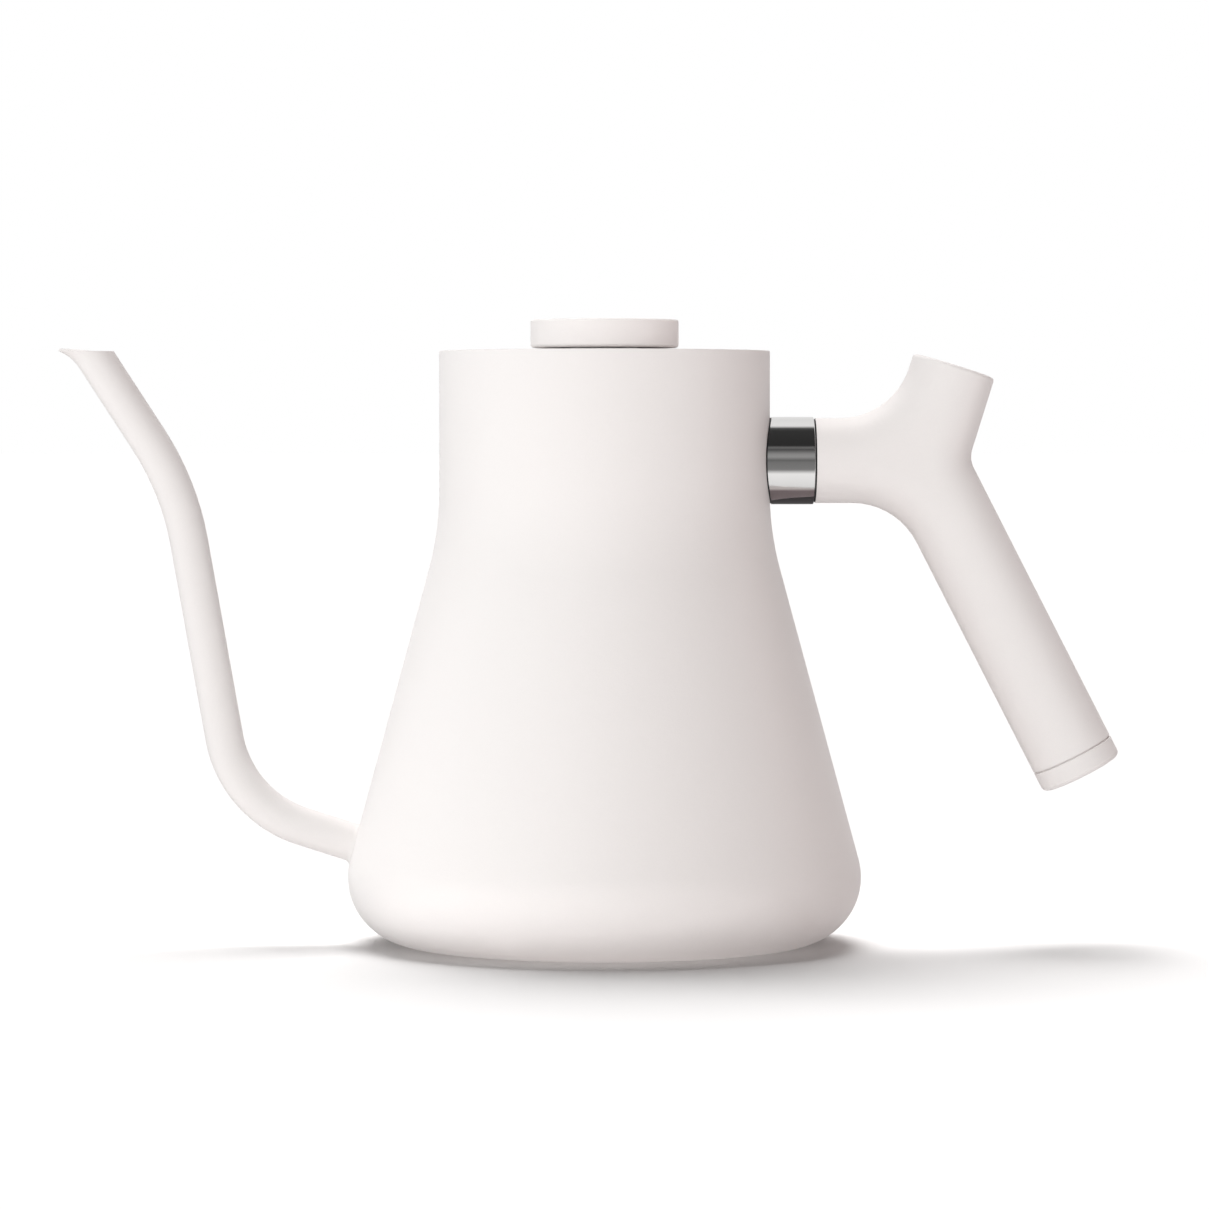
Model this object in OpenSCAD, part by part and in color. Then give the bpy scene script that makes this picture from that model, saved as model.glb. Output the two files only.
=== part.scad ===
// Gooseneck kettle with a flush lid, a dial thermometer in the lid knob and a forked, weighted handle.
// Millimetres. The origin is on the body's axis at the table and +Z is up.
// +X runs to the handle, the spout is at -X, and the kettle is the same on both sides of y = 0.

/* [Body] */
// Height of the rim above the table
rim_z = 163.85; // [160:0.05:168]
// Outer diameter of the neck
neck_d = 91.3; // [88:0.1:94]
// Radius of the rounded bottom corner
corner_r = 18.5; // [15:0.5:21]
// Lean of the side wall from vertical, in degrees
wall_lean = 15.2; // [14.4:0.1:16]
// Radius of the hollow blend between the side wall and the neck
shoulder_r = 84; // [50:1:100]
// Thickness of the steel sheet
wall = 0.8; // [0.6:0.1:1]

/* [Base] */
// Diameter of the sandwich base that closes the foot ring
base_d = 100; // [94:0.5:101]
// Height of the vessel's floor above the table, to its underside
floor_z = 3.3; // [2.6:0.1:5]
// Thickness of the magnetic steel pan under the base
capsule_t = 0.5; // [0.4:0.1:0.8]
// Width of the lap that welds the floor to the foot ring
floor_lap = 2.4; // [1.5:0.1:4]
// Width of the foot ring's flat outside that lap, up to the rounded corner
foot_margin = 0.1; // [0:0.1:1.5]

/* [Spout] */
// Outer diameter of the spout tube
spout_d = 10.5; // [9:0.1:12]
// Wall of the spout tube
spout_wall = 0.8; // [0.6:0.1:1.2]
// Distance of the low corner of the spout's centre line from the body's axis
spout_low_x = 101.8; // [98:0.1:106]
// Height of the low corner of the spout's centre line
spout_low_z = 38.3; // [36:0.1:42]
// Distance of the high corner of the spout's centre line from the body's axis
spout_high_x = 117.4; // [114:0.1:121]
// Height of the high corner of the spout's centre line
spout_high_z = 126.4; // [122:0.1:130]
// Rise of the spout where it leaves the body, in degrees
root_rise = 17.9; // [15:0.1:21]
// Lean of the last stretch from vertical, in degrees
mouth_lean = 32.9; // [30:0.1:36]
// Centre-line radius of the low bend
low_bend_r = 31.6; // [25:0.1:38]
// Centre-line radius of the high bend
high_bend_r = 76; // [50:1:90]
// Radius of the curl that flares the pouring lip
lip_curl_r = 12; // [10:0.5:16]
// Length of tube before the mouth's centre at which the flare starts
lip_start = 2.3; // [1.5:0.1:4]
// Radius of the weld fillet round the spout's root
weld_r = 1.8; // [1:0.1:3]

/* [Handle] */
// Diameter of the handle's arm, thumb rest and grip
handle_d = 23.5; // [22:0.1:25]
// Height of the arm's centre line
arm_z = 133.6; // [132:0.1:136]
// Distance from the body's axis to the moulded arm's end face
arm_x = 58.2; // [55:0.1:61]
// Where the thumb rest's centre line crosses the arm's
rest_x = 88.5; // [86:0.1:92]
// Where the grip's centre line crosses the arm's
grip_x = 88; // [86:0.1:91]
// Lean of the thumb rest from vertical, in degrees
rest_lean = 17.3; // [14:0.1:20]
// Lean of the grip from vertical, in degrees
grip_lean = 27.1; // [25:0.1:30]
// Length of the thumb rest, from the arm's centre line to its end face
rest_l = 27.4; // [26:0.1:34]
// Length of the grip, from the arm's centre line to the end of its cap
grip_l = 97.4; // [90:0.1:110]
// Radius of the blends above and below the arm
blend_r = 20; // [16:0.5:22]
// Radius of the crease between the thumb rest and the grip
crease_r = 7; // [5:0.5:9]
// Radius of the thumb rest's rounded edge
rest_edge_r = 1; // [0.5:0.1:1.6]
// Length of the end cap on the grip
cap_l = 6.3; // [5:0.1:9]
// Radius of the end cap's rounded edge
cap_edge_r = 1.6; // [1:0.1:2.5]

/* [Handle fixing] */
// Outer diameter of the polished collar between the neck and the arm
collar_d = 24.2; // [23:0.1:26]
// Wall of the collar
collar_wall = 1.5; // [1:0.1:2.5]
// Thickness of the black gaskets at both ends of the collar
gasket_t = 0.5; // [0.4:0.1:1]
// How far the gaskets' edges lie inside the collar's surface
gasket_inset = 0.3; // [0.1:0.1:0.6]
// Diameter of the tenon that carries the handle
tenon_d = 12.8; // [11:0.1:14]
// How far the tenon reaches past the thumb rest's centre line
tenon_past = 6; // [4.5:0.1:7]
// Diameter of the saddle that welds the tenon to the neck
saddle_d = 19; // [16:0.5:20.5]
// Thickness of the saddle
saddle_t = 2; // [1.5:0.1:3]
// Diameter of the handle screw
screw_d = 4.2; // [3:0.1:5]
// Diameter of the screw's head
screw_head_d = 8; // [7:0.1:9]
// Height of the screw's head
screw_head_h = 3.2; // [2.5:0.1:4]
// Width across the flats of the screw's hexagon socket
screw_socket_w = 3; // [2:0.1:4]
// Depth of the screw's hexagon socket
screw_socket_h = 2; // [1:0.1:2.4]
// How far the screw goes past the tenon's centre line
screw_past = 4.5; // [3:0.1:5.5]
// Outer diameter of the washer under the screw's head
washer_d = 10; // [9.2:0.1:11]
// Thickness of the washer
washer_t = 1; // [0.6:0.1:1.5]
// Height of the washer's seat above the arm's centre line
seat_l = 12; // [10:0.1:14]
// Diameter of the plug that closes the thumb rest
plug_d = 17; // [14:0.1:18]
// Thickness of the plug
plug_t = 3; // [2:0.1:4]
// Diameter of the bore along the grip
grip_bore_d = 17; // [14:0.1:18]
// Where the grip's bore starts, from the arm's centre line
grip_bore_l = 44; // [40:0.5:50]
// Length of the end cap's spigot
spigot_l = 5; // [3:0.1:7]

/* [Neck ring and lid] */
// Diameter of the opening that the lid's seal fits
mouth_d = 78.8; // [76:0.1:80]
// Height of the neck ring's sleeve
sleeve_h = 11; // [9:0.1:14]
// Depth of the lid's edge, from its top to the ledge it rests on
lid_edge_h = 3.4; // [3:0.1:5]
// How far the lid's top lies under the rim
lid_drop = 0.25; // [0:0.05:0.6]
// Gap between the lid's edge and the neck
lid_gap = 0.35; // [0.3:0.05:0.6]
// Radius of the lid's rounded top edge
lid_edge_r = 0.5; // [0.3:0.1:0.7]
// Thickness of the silicone seal
seal_t = 1.9; // [1.5:0.1:2.6]
// Height of the silicone seal
seal_h = 5; // [4:0.1:6]
// Width of the flange that welds the seal carrier to the lid
carrier_flange = 3; // [2:0.1:4]
// Number of steam vents in the lid
vents = 3; // [2:1:6]
// Diameter of one steam vent
vent_d = 3; // [2:0.1:3.6]
// Distance of the steam vents from the lid's centre
vent_at_r = 28; // [25:0.5:30]

/* [Knob and thermometer] */
// Diameter of the knob
knob_d = 40.9; // [38:0.1:44]
// Height of the knob
knob_h = 7.8; // [7.6:0.1:9]
// Gap between the lid and the knob
knob_gap = 1.1; // [0.8:0.1:2]
// Radius of the knob's bottom edge
knob_edge_r = 1; // [0.6:0.1:1.2]
// Radius of the knob's top edge
knob_top_r = 0.7; // [0.4:0.1:0.9]
// Width of the knob's rim round the thermometer
knob_rim = 2.6; // [2.2:0.1:3.2]
// Thickness of the knob's floor
knob_floor = 2; // [1.6:0.1:2.2]
// Diameter of the spacer between the lid and the knob
foot_spacer_d = 18; // [14:0.5:24]
// Wall of the thermometer's case
case_wall = 0.6; // [0.4:0.05:0.7]
// Diameter of the thermometer's threaded stem
stem_d = 8; // [7:0.1:9]
// How far the stem reaches under the lid
stem_l = 9; // [8:0.1:11]
// Thickness of the dial
dial_t = 0.4; // [0.3:0.05:0.5]
// Height of the dial over the case's floor
dial_lift = 1.3; // [1:0.1:1.5]
// Thickness of the window
window_t = 1.2; // [1:0.1:1.4]
// Width of the case's rolled edge over the window
bezel_w = 1.1; // [0.9:0.05:1.4]
// Thickness of the case's rolled edge
bezel_t = 0.3; // [0.2:0.05:0.4]
// How far the case's edge lies under the knob's top
bezel_drop = 0.2; // [0.1:0.05:0.4]
// Length of the pointer from its pin
pointer_l = 13.5; // [11:0.1:14]
// Length of the pointer's tail
pointer_tail = 4; // [3:0.1:5]
// Width of the pointer at its hub
pointer_w = 1.2; // [0.9:0.1:1.6]
// Thickness of the pointer
pointer_t = 0.3; // [0.2:0.05:0.4]
// Diameter of the pointer's hub
hub_d = 3.4; // [2.8:0.1:4]
// Diameter of the pointer's spindle
spindle_d = 1.2; // [1:0.05:1.4]
// Diameter of the probe
probe_d = 4; // [3.4:0.1:4.4]
// Wall of the probe
probe_wall = 0.3; // [0.2:0.05:0.4]
// Height of the probe's tip above the table
probe_z = 62; // [50:1:90]
// How far the probe is pressed into the stem
probe_seat = 4; // [3:0.1:5]
// Length of the bimetal coil
coil_l = 26; // [18:0.5:34]
// Diameter of the bimetal coil
coil_d = 3; // [2.4:0.1:3.2]
// Thickness of the bimetal strip
coil_t = 0.5; // [0.3:0.05:0.6]
// Thickness of the silicone washer under the lid
seal_washer_t = 1; // [0.8:0.1:1.5]
// Diameter of the silicone washer under the lid
seal_washer_d = 16; // [15:0.5:20]
// Height of the nut under the lid
nut_h = 4; // [3.5:0.1:5]
// Width of the nut across its flats
nut_w = 12; // [11:0.1:13]

/* [Hidden] */
$fn = 96;

join = 0.01;      // how far one piece of a surface stands proud of the next, so that they cross cleanly
lap = 0.02;       // length by which those pieces overlap
fit = 0.05;       // radial clearance of a running or sliding fit
rest_gap = 0.05;  // gap under the lid's edge
overrun = 1;      // how far a cutter runs past the face that it cuts

white = [0.94, 0.92, 0.91];
steel = [0.70, 0.70, 0.71];
polished = [0.80, 0.81, 0.83];
aluminium = [0.78, 0.79, 0.80];
black = [0.10, 0.10, 0.11];
grey_rubber = [0.55, 0.55, 0.56];
dark_steel = [0.42, 0.43, 0.45];
bronze = [0.62, 0.50, 0.34];
clear = [0.80, 0.88, 0.92, 0.4];
orange = [0.85, 0.33, 0.12];
dial_white = [0.96, 0.96, 0.95];

neck_r = neck_d / 2;
base_r = base_d / 2;
foot_r = base_r + floor_lap + foot_margin;      // where the flat foot ring meets the rounded corner
spout_r = spout_d / 2;
handle_r = handle_d / 2;
knob_r = knob_d / 2;
mouth_r = mouth_d / 2;

// ---- Revolved shapes ----------------------------------------------------------------------------

// A ring, or a disc where r_in is 0, between two heights.
module band(r_in, r_out, z_lo, z_hi) {
    rotate_extrude() translate([r_in, z_lo]) square([r_out - r_in, z_hi - z_lo]);
}

// A 2D rectangle from the axis out, its outer corners rounded by r_lo at the bottom and r_hi at the top.
module rounded_band(r_out, z_lo, z_hi, r_lo, r_hi) {
    difference() {
        translate([0, z_lo]) square([r_out, z_hi - z_lo]);
        if (r_lo > 0) translate([r_out - r_lo, z_lo - overrun]) square([r_lo + overrun, r_lo + overrun]);
        if (r_hi > 0) translate([r_out - r_hi, z_hi - r_hi]) square([r_hi + overrun, r_hi + overrun]);
    }
    if (r_lo > 0) translate([r_out - r_lo, z_lo + r_lo]) quarter(r_lo, false);
    if (r_hi > 0) translate([r_out - r_hi, z_hi - r_hi]) quarter(r_hi, true);
}

// The quarter disc to the right of the origin, above it or below it.
module quarter(r, above) {
    intersection() {
        circle(r = r);
        translate([0, above ? 0 : -r]) square(r);
    }
}

// ---- Body: one profile, moved inwards by inset (outwards where inset is negative) ---------------

side_at_corner = foot_r + corner_r / cos(wall_lean);   // radius of the side wall's line at z = corner_r
function side_r(z) = side_at_corner - (z - corner_r) * tan(wall_lean);

// The body's outer form, as a solid of revolution.
module body_solid(inset) {
    corner = corner_r - inset;
    hollow = shoulder_r + inset;
    neck = neck_r - inset;
    side_foot = [foot_r + corner * cos(wall_lean), corner_r + corner * sin(wall_lean)];
    side_top_z = corner_r + (foot_r + corner / cos(wall_lean) - neck) / tan(wall_lean);
    blend = hollow * tan(wall_lean / 2);
    blend_low = [neck + blend * sin(wall_lean), side_top_z - blend * cos(wall_lean)];
    rotate_extrude()
        polygon([[0, inset], [foot_r, inset], side_foot, [neck, side_top_z], [neck, rim_z], [0, rim_z]]);
    rotate_extrude() intersection() {
        translate([foot_r, corner_r]) circle(r = corner + join);
        translate([0, inset]) square([foot_r + 2 * corner_r, 2 * corner_r]);
    }
    rotate_extrude() difference() {
        polygon([
            [neck - overrun, side_top_z + blend], [neck, side_top_z + blend],
            blend_low, [neck - overrun, blend_low.y],
        ]);
        translate([neck + hollow, side_top_z + blend]) circle(r = hollow + join);
    }
}

module body_shell() color(white) difference() {
    body_solid(0);
    body_solid(wall);
    translate([0, 0, -overrun]) cylinder(r = base_r + fit, h = wall + 2 * overrun);
    translate([0, 0, rim_z - overrun]) cylinder(r = neck_r - wall, h = 2 * overrun);
    spout_root(spout_r - spout_wall, root_inside);
}

// ---- Base: vessel floor, aluminium heat disc and magnetic pan -----------------------------------

floor_step = floor_z - wall;                    // height by which the floor's middle is raised
floor_slope_r = base_r - floor_step;            // radius of the raised middle
disc_r = floor_slope_r - capsule_t;

module base_floor() color(steel) rotate_extrude() polygon([
    [0, floor_z], [floor_slope_r, floor_z], [base_r, wall], [base_r + floor_lap, wall],
    [base_r + floor_lap, 2 * wall], [base_r, 2 * wall],
    [floor_slope_r, floor_z + wall], [0, floor_z + wall],
]);

module heat_disc() color(aluminium) band(0, disc_r - fit, capsule_t, floor_z);

module base_capsule() color(steel) union() {
    band(0, base_r, 0, capsule_t);
    band(disc_r, floor_slope_r, capsule_t - lap, floor_z);
}

// ---- Spout: a bent tube, given by the two corners of its centre line ----------------------------

// Points here are [x, z]. A lean is measured from +Z towards +X.
function heading(lean) = [sin(lean), cos(lean)];

low_corner = [-spout_low_x, spout_low_z];
high_corner = [-spout_high_x, spout_high_z];
root_lean = root_rise - 90;
run_lean = atan2(high_corner.x - low_corner.x, high_corner.y - low_corner.y);
top_lean = -mouth_lean;
low_turn = run_lean - root_lean;
high_turn = run_lean - top_lean;
low_tangent = low_bend_r * tan(low_turn / 2);
high_tangent = high_bend_r * tan(high_turn / 2);
run_l = norm(high_corner - low_corner) - low_tangent - high_tangent;

// Length along the root from the low corner to the body's side wall
root_to_wall = (spout_low_x - side_at_corner + (spout_low_z - corner_r) * tan(wall_lean))
    / (cos(root_rise) + sin(root_rise) * tan(wall_lean));
root_inside = 3 * spout_r;                      // how far the root's cutters reach into the body
mouth_z = rim_z;                                // the lip is level with the rim
top_l = (mouth_z - high_corner.y) / cos(mouth_lean);   // from the high corner to the mouth's centre
mouth_x = (high_corner + top_l * heading(top_lean)).x;
lip_rise = 0.9 * lip_curl_r;                    // length over which the flare is drawn, to past the mouth
mouth_cut = 4 * spout_d;                        // size of the block that cuts the mouth level
weld_sink = weld_r / 3;                         // depth under the body's surface where the weld starts

module at(point, lean) translate([point.x, 0, point.y]) rotate([0, lean, 0]) children();

// A straight stretch from the origin up, lapping the bends that it joins.
module straight(len, r) translate([0, 0, -lap]) cylinder(r = r, h = len + 2 * lap);

// A bend that starts at the origin heading +Z and turns towards +X, standing proud of the straight stretches.
module bend(bend_r, turn, r) {
    translate([bend_r, 0, 0]) rotate([90, 0, 0])
        rotate_extrude(start = 180 - turn, angle = turn) translate([bend_r, 0]) circle(r = r + join);
}

// The root, from reach mm inside the body's side wall to the low bend.
module spout_root(r, reach) {
    at(low_corner - (root_to_wall + reach) * heading(root_lean), root_lean)
        straight(root_to_wall + reach - low_tangent, r);
}

// The flared end, round the last stretch's centre line, curling away at radius curl.
module lip(r, curl) {
    start = top_l - lip_start;
    rotate_extrude() difference() {
        translate([0, start]) square([r + join + curl, lip_rise]);
        translate([r + join + curl, start]) circle(r = curl);
    }
}

module spout_path(r, curl) {
    spout_root(r, root_inside);
    at(low_corner - low_tangent * heading(root_lean), root_lean) bend(low_bend_r, low_turn, r);
    at(low_corner + low_tangent * heading(run_lean), run_lean) straight(run_l, r);
    at(high_corner - high_tangent * heading(run_lean), run_lean)
        rotate([0, 0, 180]) bend(high_bend_r, high_turn, r);
    at(high_corner + high_tangent * heading(top_lean), top_lean)
        straight(top_l - lip_start - high_tangent, r);
    at(high_corner, top_lean) lip(r, curl);
}

// The weld's fillet round the root, drawn from a little under the body's surface.
module weld_fillet() {
    foot = -root_inside;
    start = -weld_sink;
    at(low_corner - root_to_wall * heading(root_lean), root_lean) rotate_extrude() difference() {
        translate([0, foot]) square([spout_r + weld_r, start + weld_r - foot]);
        translate([spout_r + weld_r, start + weld_r]) circle(r = weld_r);
    }
}

module spout_tube() color(white) difference() {
    union() {
        spout_path(spout_r, lip_curl_r);
        weld_fillet();
    }
    spout_path(spout_r - spout_wall, lip_curl_r + spout_wall);
    body_solid(0);
    translate([mouth_x - mouth_cut / 2, -mouth_cut / 2, mouth_z]) cube(mouth_cut);
}

// ---- Neck ring: the ledge that the lid rests on and the sleeve that its seal fits ---------------

lid_top_z = rim_z - lid_drop;
lid_under_z = lid_top_z - wall;
ledge_z = lid_top_z - lid_edge_h;
sleeve_z = ledge_z - sleeve_h;

module neck_ring() color(steel) rotate_extrude() polygon([
    [mouth_r, sleeve_z], [mouth_r + wall, sleeve_z], [mouth_r + wall, ledge_z - wall],
    [neck_r - wall, ledge_z - wall], [neck_r - wall, ledge_z], [mouth_r, ledge_z],
]);

// ---- Handle fixing: a welded tenon inside a polished collar -------------------------------------

collar_r = collar_d / 2;
collar_bore_r = collar_r - collar_wall;
tenon_r = tenon_d / 2;
screw_r = screw_d / 2;
washer_r = washer_d / 2;
tenon_end_x = rest_x + tenon_past;
body_side_x = neck_r / 2;                       // inside the neck, where pieces that the neck trims start

// Children drawn up +Z lie along the arm's centre line instead, from the body's axis outwards.
module along_arm() translate([0, 0, arm_z]) rotate([0, 90, 0]) children();
module along_rest() at([rest_x, arm_z], rest_lean) children();
module along_grip() at([grip_x, arm_z], 180 - grip_lean) children();

module handle_tenon() color(steel) difference() {
    along_arm() {
        band(0, tenon_r, body_side_x, tenon_end_x);
        band(0, saddle_d / 2, body_side_x, neck_r + saddle_t);
    }
    body_solid(0);
    along_rest() cylinder(r = screw_r, h = 4 * tenon_r, center = true);
}

module collar_body_gasket() color(black) difference() {
    intersection() {
        along_arm() band(collar_bore_r, collar_r - gasket_inset, body_side_x, arm_x);
        body_solid(-gasket_t);
    }
    body_solid(0);
}

module handle_collar() color(polished) difference() {
    along_arm() band(collar_bore_r, collar_r, body_side_x, arm_x - gasket_t);
    body_solid(-gasket_t);
}

module collar_handle_gasket() color(black)
    along_arm() band(collar_bore_r, handle_r - gasket_inset, arm_x - gasket_t, arm_x);

// ---- Handle shell: the web between three centre lines, thickened by the handle's radius ---------
// Each wall is a list of stations [ridge point, outward direction, radius]. The ridge is the line where
// the wall's half-round section meets the flat web. Walls that share a limb have their ridges on one line.

arc_step = 7;          // degrees of a blend between two stations
section_steps = 18;    // flats round each wall's half circle
edge_angles = [0, 30, 60];

rest_head = heading(rest_lean);
grip_head = heading(180 - grip_lean);
rest_at = [rest_x, arm_z];
grip_at = [grip_x, arm_z];
blend_ridge = blend_r + handle_r;
crease_ridge = crease_r + handle_r;

function left_of(v) = [-v.y, v.x];
function meet(p, u, q, v) = p + u * cross(q - p, v) / cross(u, v);
function backwards(list) = [for (k = [len(list) - 1 : -1 : 0]) list[k]];
function to_micron(v) = [for (x = v) round(x * 1000) / 1000];

top_centre = meet([0, arm_z + blend_ridge], [1, 0], rest_at + blend_ridge * left_of(rest_head), rest_head);
low_centre = meet([0, arm_z - blend_ridge], [1, 0], grip_at - blend_ridge * left_of(grip_head), grip_head);
crease_centre = meet(rest_at - crease_ridge * left_of(rest_head), rest_head,
    grip_at + crease_ridge * left_of(grip_head), grip_head);

// Where two ridges part, as a length along each limb
arm_fork = min(top_centre.x, low_centre.x);
rest_fork = max((top_centre - rest_at) * rest_head, (crease_centre - rest_at) * rest_head);
grip_fork = max((low_centre - grip_at) * grip_head, (crease_centre - grip_at) * grip_head);

function arc_stations(centre, r, from, to) = let (steps = ceil(abs(to - from) / arc_step))
    [for (k = [0 : steps]) let (a = from + (to - from) * k / steps)
        [centre + r * [cos(a), sin(a)], -[cos(a), sin(a)], handle_r]];

// A station at the fork, for the wall whose own blend starts beyond it.
function fork_station(point, out, blend_start) =
    norm(point - blend_start) > join ? [[point, out, handle_r]] : [];

// Length and radius along the thumb rest's rounded edge; the last pair lies just past the end face.
function rest_edge(a) = [rest_l - rest_edge_r * (1 - sin(a)), handle_r - rest_edge_r * (1 - cos(a))];
rest_edges = concat([for (a = edge_angles) rest_edge(a)], [2 * rest_edge(90) - rest_edge(60)]);
function rest_stations(out) = [for (e = rest_edges) [rest_at + e[0] * rest_head, out, e[1]]];

arm_start = [arm_x - overrun, arm_z];
grip_end = grip_at + (grip_l - cap_l + overrun) * grip_head;
arm_fork_at = [arm_fork, arm_z];
rest_fork_at = rest_at + rest_fork * rest_head;
grip_fork_at = grip_at + grip_fork * grip_head;

top_arc = arc_stations(top_centre, blend_ridge, -90, -rest_lean);
low_arc = arc_stations(low_centre, blend_ridge, 90, grip_lean);
crease_arc = arc_stations(crease_centre, crease_ridge, 180 - rest_lean, 180 + grip_lean);

function last(list) = list[len(list) - 1];

top_wall = concat(
    [[arm_start, [0, 1], handle_r]],
    fork_station(arm_fork_at, [0, 1], top_arc[0][0]),
    top_arc,
    fork_station(rest_fork_at, left_of(rest_head), last(top_arc)[0]),
    rest_stations(left_of(rest_head)));
crease_wall = concat(
    backwards(rest_stations(-left_of(rest_head))),
    fork_station(rest_fork_at, -left_of(rest_head), crease_arc[0][0]),
    crease_arc,
    fork_station(grip_fork_at, left_of(grip_head), last(crease_arc)[0]),
    [[grip_end, left_of(grip_head), handle_r]]);
low_wall = concat(
    [[arm_start, [0, -1], handle_r]],
    fork_station(arm_fork_at, [0, -1], low_arc[0][0]),
    low_arc,
    fork_station(grip_fork_at, -left_of(grip_head), last(low_arc)[0]),
    [[grip_end, -left_of(grip_head), handle_r]]);

section_angles = [for (k = [0 : section_steps]) 180 * k / section_steps - 90];
function wall_points(stations) = [for (w = stations) for (a = section_angles)
    to_micron([w[0].x + w[1].x * w[2] * cos(a), w[2] * sin(a), w[0].y + w[1].y * w[2] * cos(a)])];

ring_size = section_steps + 1;
crease_base = len(top_wall) * ring_size;
low_base = crease_base + len(crease_wall) * ring_size;

// Two triangles for each patch of a wall.
function wall_faces(base, stations) = [
    for (i = [0 : len(stations) - 2]) for (j = [0 : section_steps - 1])
        let (p = base + i * ring_size + j, q = p + ring_size)
            each [[p, p + 1, q + 1], [p, q + 1, q]]];

function ring(base, station) = [for (j = [0 : section_steps]) base + station * ring_size + j];
function inner(list) = [for (k = [1 : len(list) - 2]) list[k]];

top_last = len(top_wall) - 1 - len(rest_edges);
crease_first = len(rest_edges);

// Points of one ridge between two stations, at the near side or the far side: [point number, place].
function ridge(base, wall, first, final, side) =
    [for (i = [first : final]) [base + i * ring_size + side, wall[i][0]]];

// Triangles between two rows of points that part at one corner. Each step moves on along the row where
// the triangle lies inside the web, and where both do, along the one that leaves the shorter side.
function inside(p, q, r) = cross(q[1] - p[1], r[1] - p[1]) < 0;
function gap(p, q) = norm(p[1] - q[1]);
function strip(a, b, i = 0, j = 0) =
    let (more_a = i < len(a) - 1)
    let (more_b = j < len(b) - 1)
    let (in_a = more_a && inside(a[i], a[i + 1], b[j]))
    let (in_b = more_b && inside(a[i], b[j + 1], b[j]))
    let (move_a = more_a && (!more_b || in_a && (!in_b || gap(a[i + 1], b[j]) < gap(a[i], b[j + 1]))))
    !more_a && !more_b ? []
    : move_a ? concat([[a[i][0], a[i + 1][0], b[j][0]]], strip(a, b, i + 1, j))
    : concat(i + j == 0 ? [] : [[a[i][0], b[j + 1][0], b[j][0]]], strip(a, b, i, j + 1));

function middle(row) = floor(len(row) / 2);
function first_half(row) = [for (k = [0 : middle(row)]) row[k]];
function second_half(row) = [for (k = [middle(row) : len(row) - 1]) row[k]];
function fork_strip(ending, starting) = strip(first_half(starting), backwards(second_half(ending)));

// The flat web at one side: a strip into each fork, and a triangle between the middles of the ridges.
function web_faces(side) =
    let (top = ridge(0, top_wall, 1, top_last, side))
    let (crease = concat([last(top)],
        ridge(crease_base, crease_wall, crease_first + 1, len(crease_wall) - 2, side)))
    let (low = concat([last(crease)],
        backwards(ridge(low_base, low_wall, 2, len(low_wall) - 3, side)), [top[0]]))
    concat(
        fork_strip(low, top),
        fork_strip(top, crease),
        fork_strip(crease, low),
        [[for (row = [top, crease, low]) row[middle(row)][0]]]);

module handle_blank() polyhedron(
    points = concat(wall_points(top_wall), wall_points(crease_wall), wall_points(low_wall)),
    faces = concat(
        wall_faces(0, top_wall),
        wall_faces(crease_base, crease_wall),
        [for (f = wall_faces(low_base, low_wall)) backwards(f)],
        web_faces(0),
        [for (f = web_faces(section_steps)) backwards(f)],
        [backwards(concat(ring(0, 0), backwards(inner(ring(low_base, 0)))))],
        [concat(ring(0, len(top_wall) - 1), backwards(inner(ring(crease_base, 0))))],
        [concat(ring(crease_base, len(crease_wall) - 1),
            backwards(inner(ring(low_base, len(low_wall) - 1))))]
    ),
    convexity = 6);

bore_clearance = 0.15;     // radial clearance of the hole that the screw passes freely
tenon_clearance = 0.5;     // gap past the tenon's end
seam_depth = 0.4;          // depth of the groove between the grip and its cap
seam_w = 0.5;              // width of that groove
plug_r = plug_d / 2;
grip_bore_r = grip_bore_d / 2;
plug_seat_l = rest_l - plug_t;
shell_end_l = grip_l - cap_l;
cut_size = 2 * handle_d;

// Everything beyond the origin's plane, up to overrun and a little more.
module end_cut() translate([-cut_size / 2, -cut_size / 2, 0]) cube([cut_size, cut_size, 4 * overrun]);

module handle_shell() color(white) difference() {
    handle_blank();
    along_arm() translate([0, 0, arm_x]) mirror([0, 0, 1]) end_cut();
    along_rest() translate([0, 0, rest_l]) end_cut();
    along_grip() translate([0, 0, shell_end_l]) end_cut();
    along_arm() band(0, tenon_r + fit, arm_x - overrun, tenon_end_x + tenon_clearance);
    along_rest() {
        band(0, screw_r + bore_clearance, 0, seat_l + overrun);
        band(0, washer_r + bore_clearance, seat_l, plug_seat_l + overrun);
        band(0, plug_r + fit, plug_seat_l, rest_l + overrun);
    }
    along_grip() band(0, grip_bore_r, grip_bore_l, shell_end_l + overrun);
}

module handle_screw() color(dark_steel) along_rest() difference() {
    union() {
        band(0, screw_r, -screw_past, seat_l + washer_t + lap);
        band(0, screw_head_d / 2, seat_l + washer_t, seat_l + washer_t + screw_head_h);
    }
    translate([0, 0, seat_l + washer_t + screw_head_h - screw_socket_h])
        cylinder(r = screw_socket_w / 2 / cos(30), h = screw_socket_h + overrun, $fn = 6);
}

module screw_washer() color(steel) along_rest()
    band(screw_r + bore_clearance, washer_r, seat_l, seat_l + washer_t);

module thumb_plug() color(white) along_rest() band(0, plug_r, plug_seat_l, rest_l);

module counterweight() color(dark_steel) along_grip()
    band(0, grip_bore_r - fit, grip_bore_l, shell_end_l - spigot_l);

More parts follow.
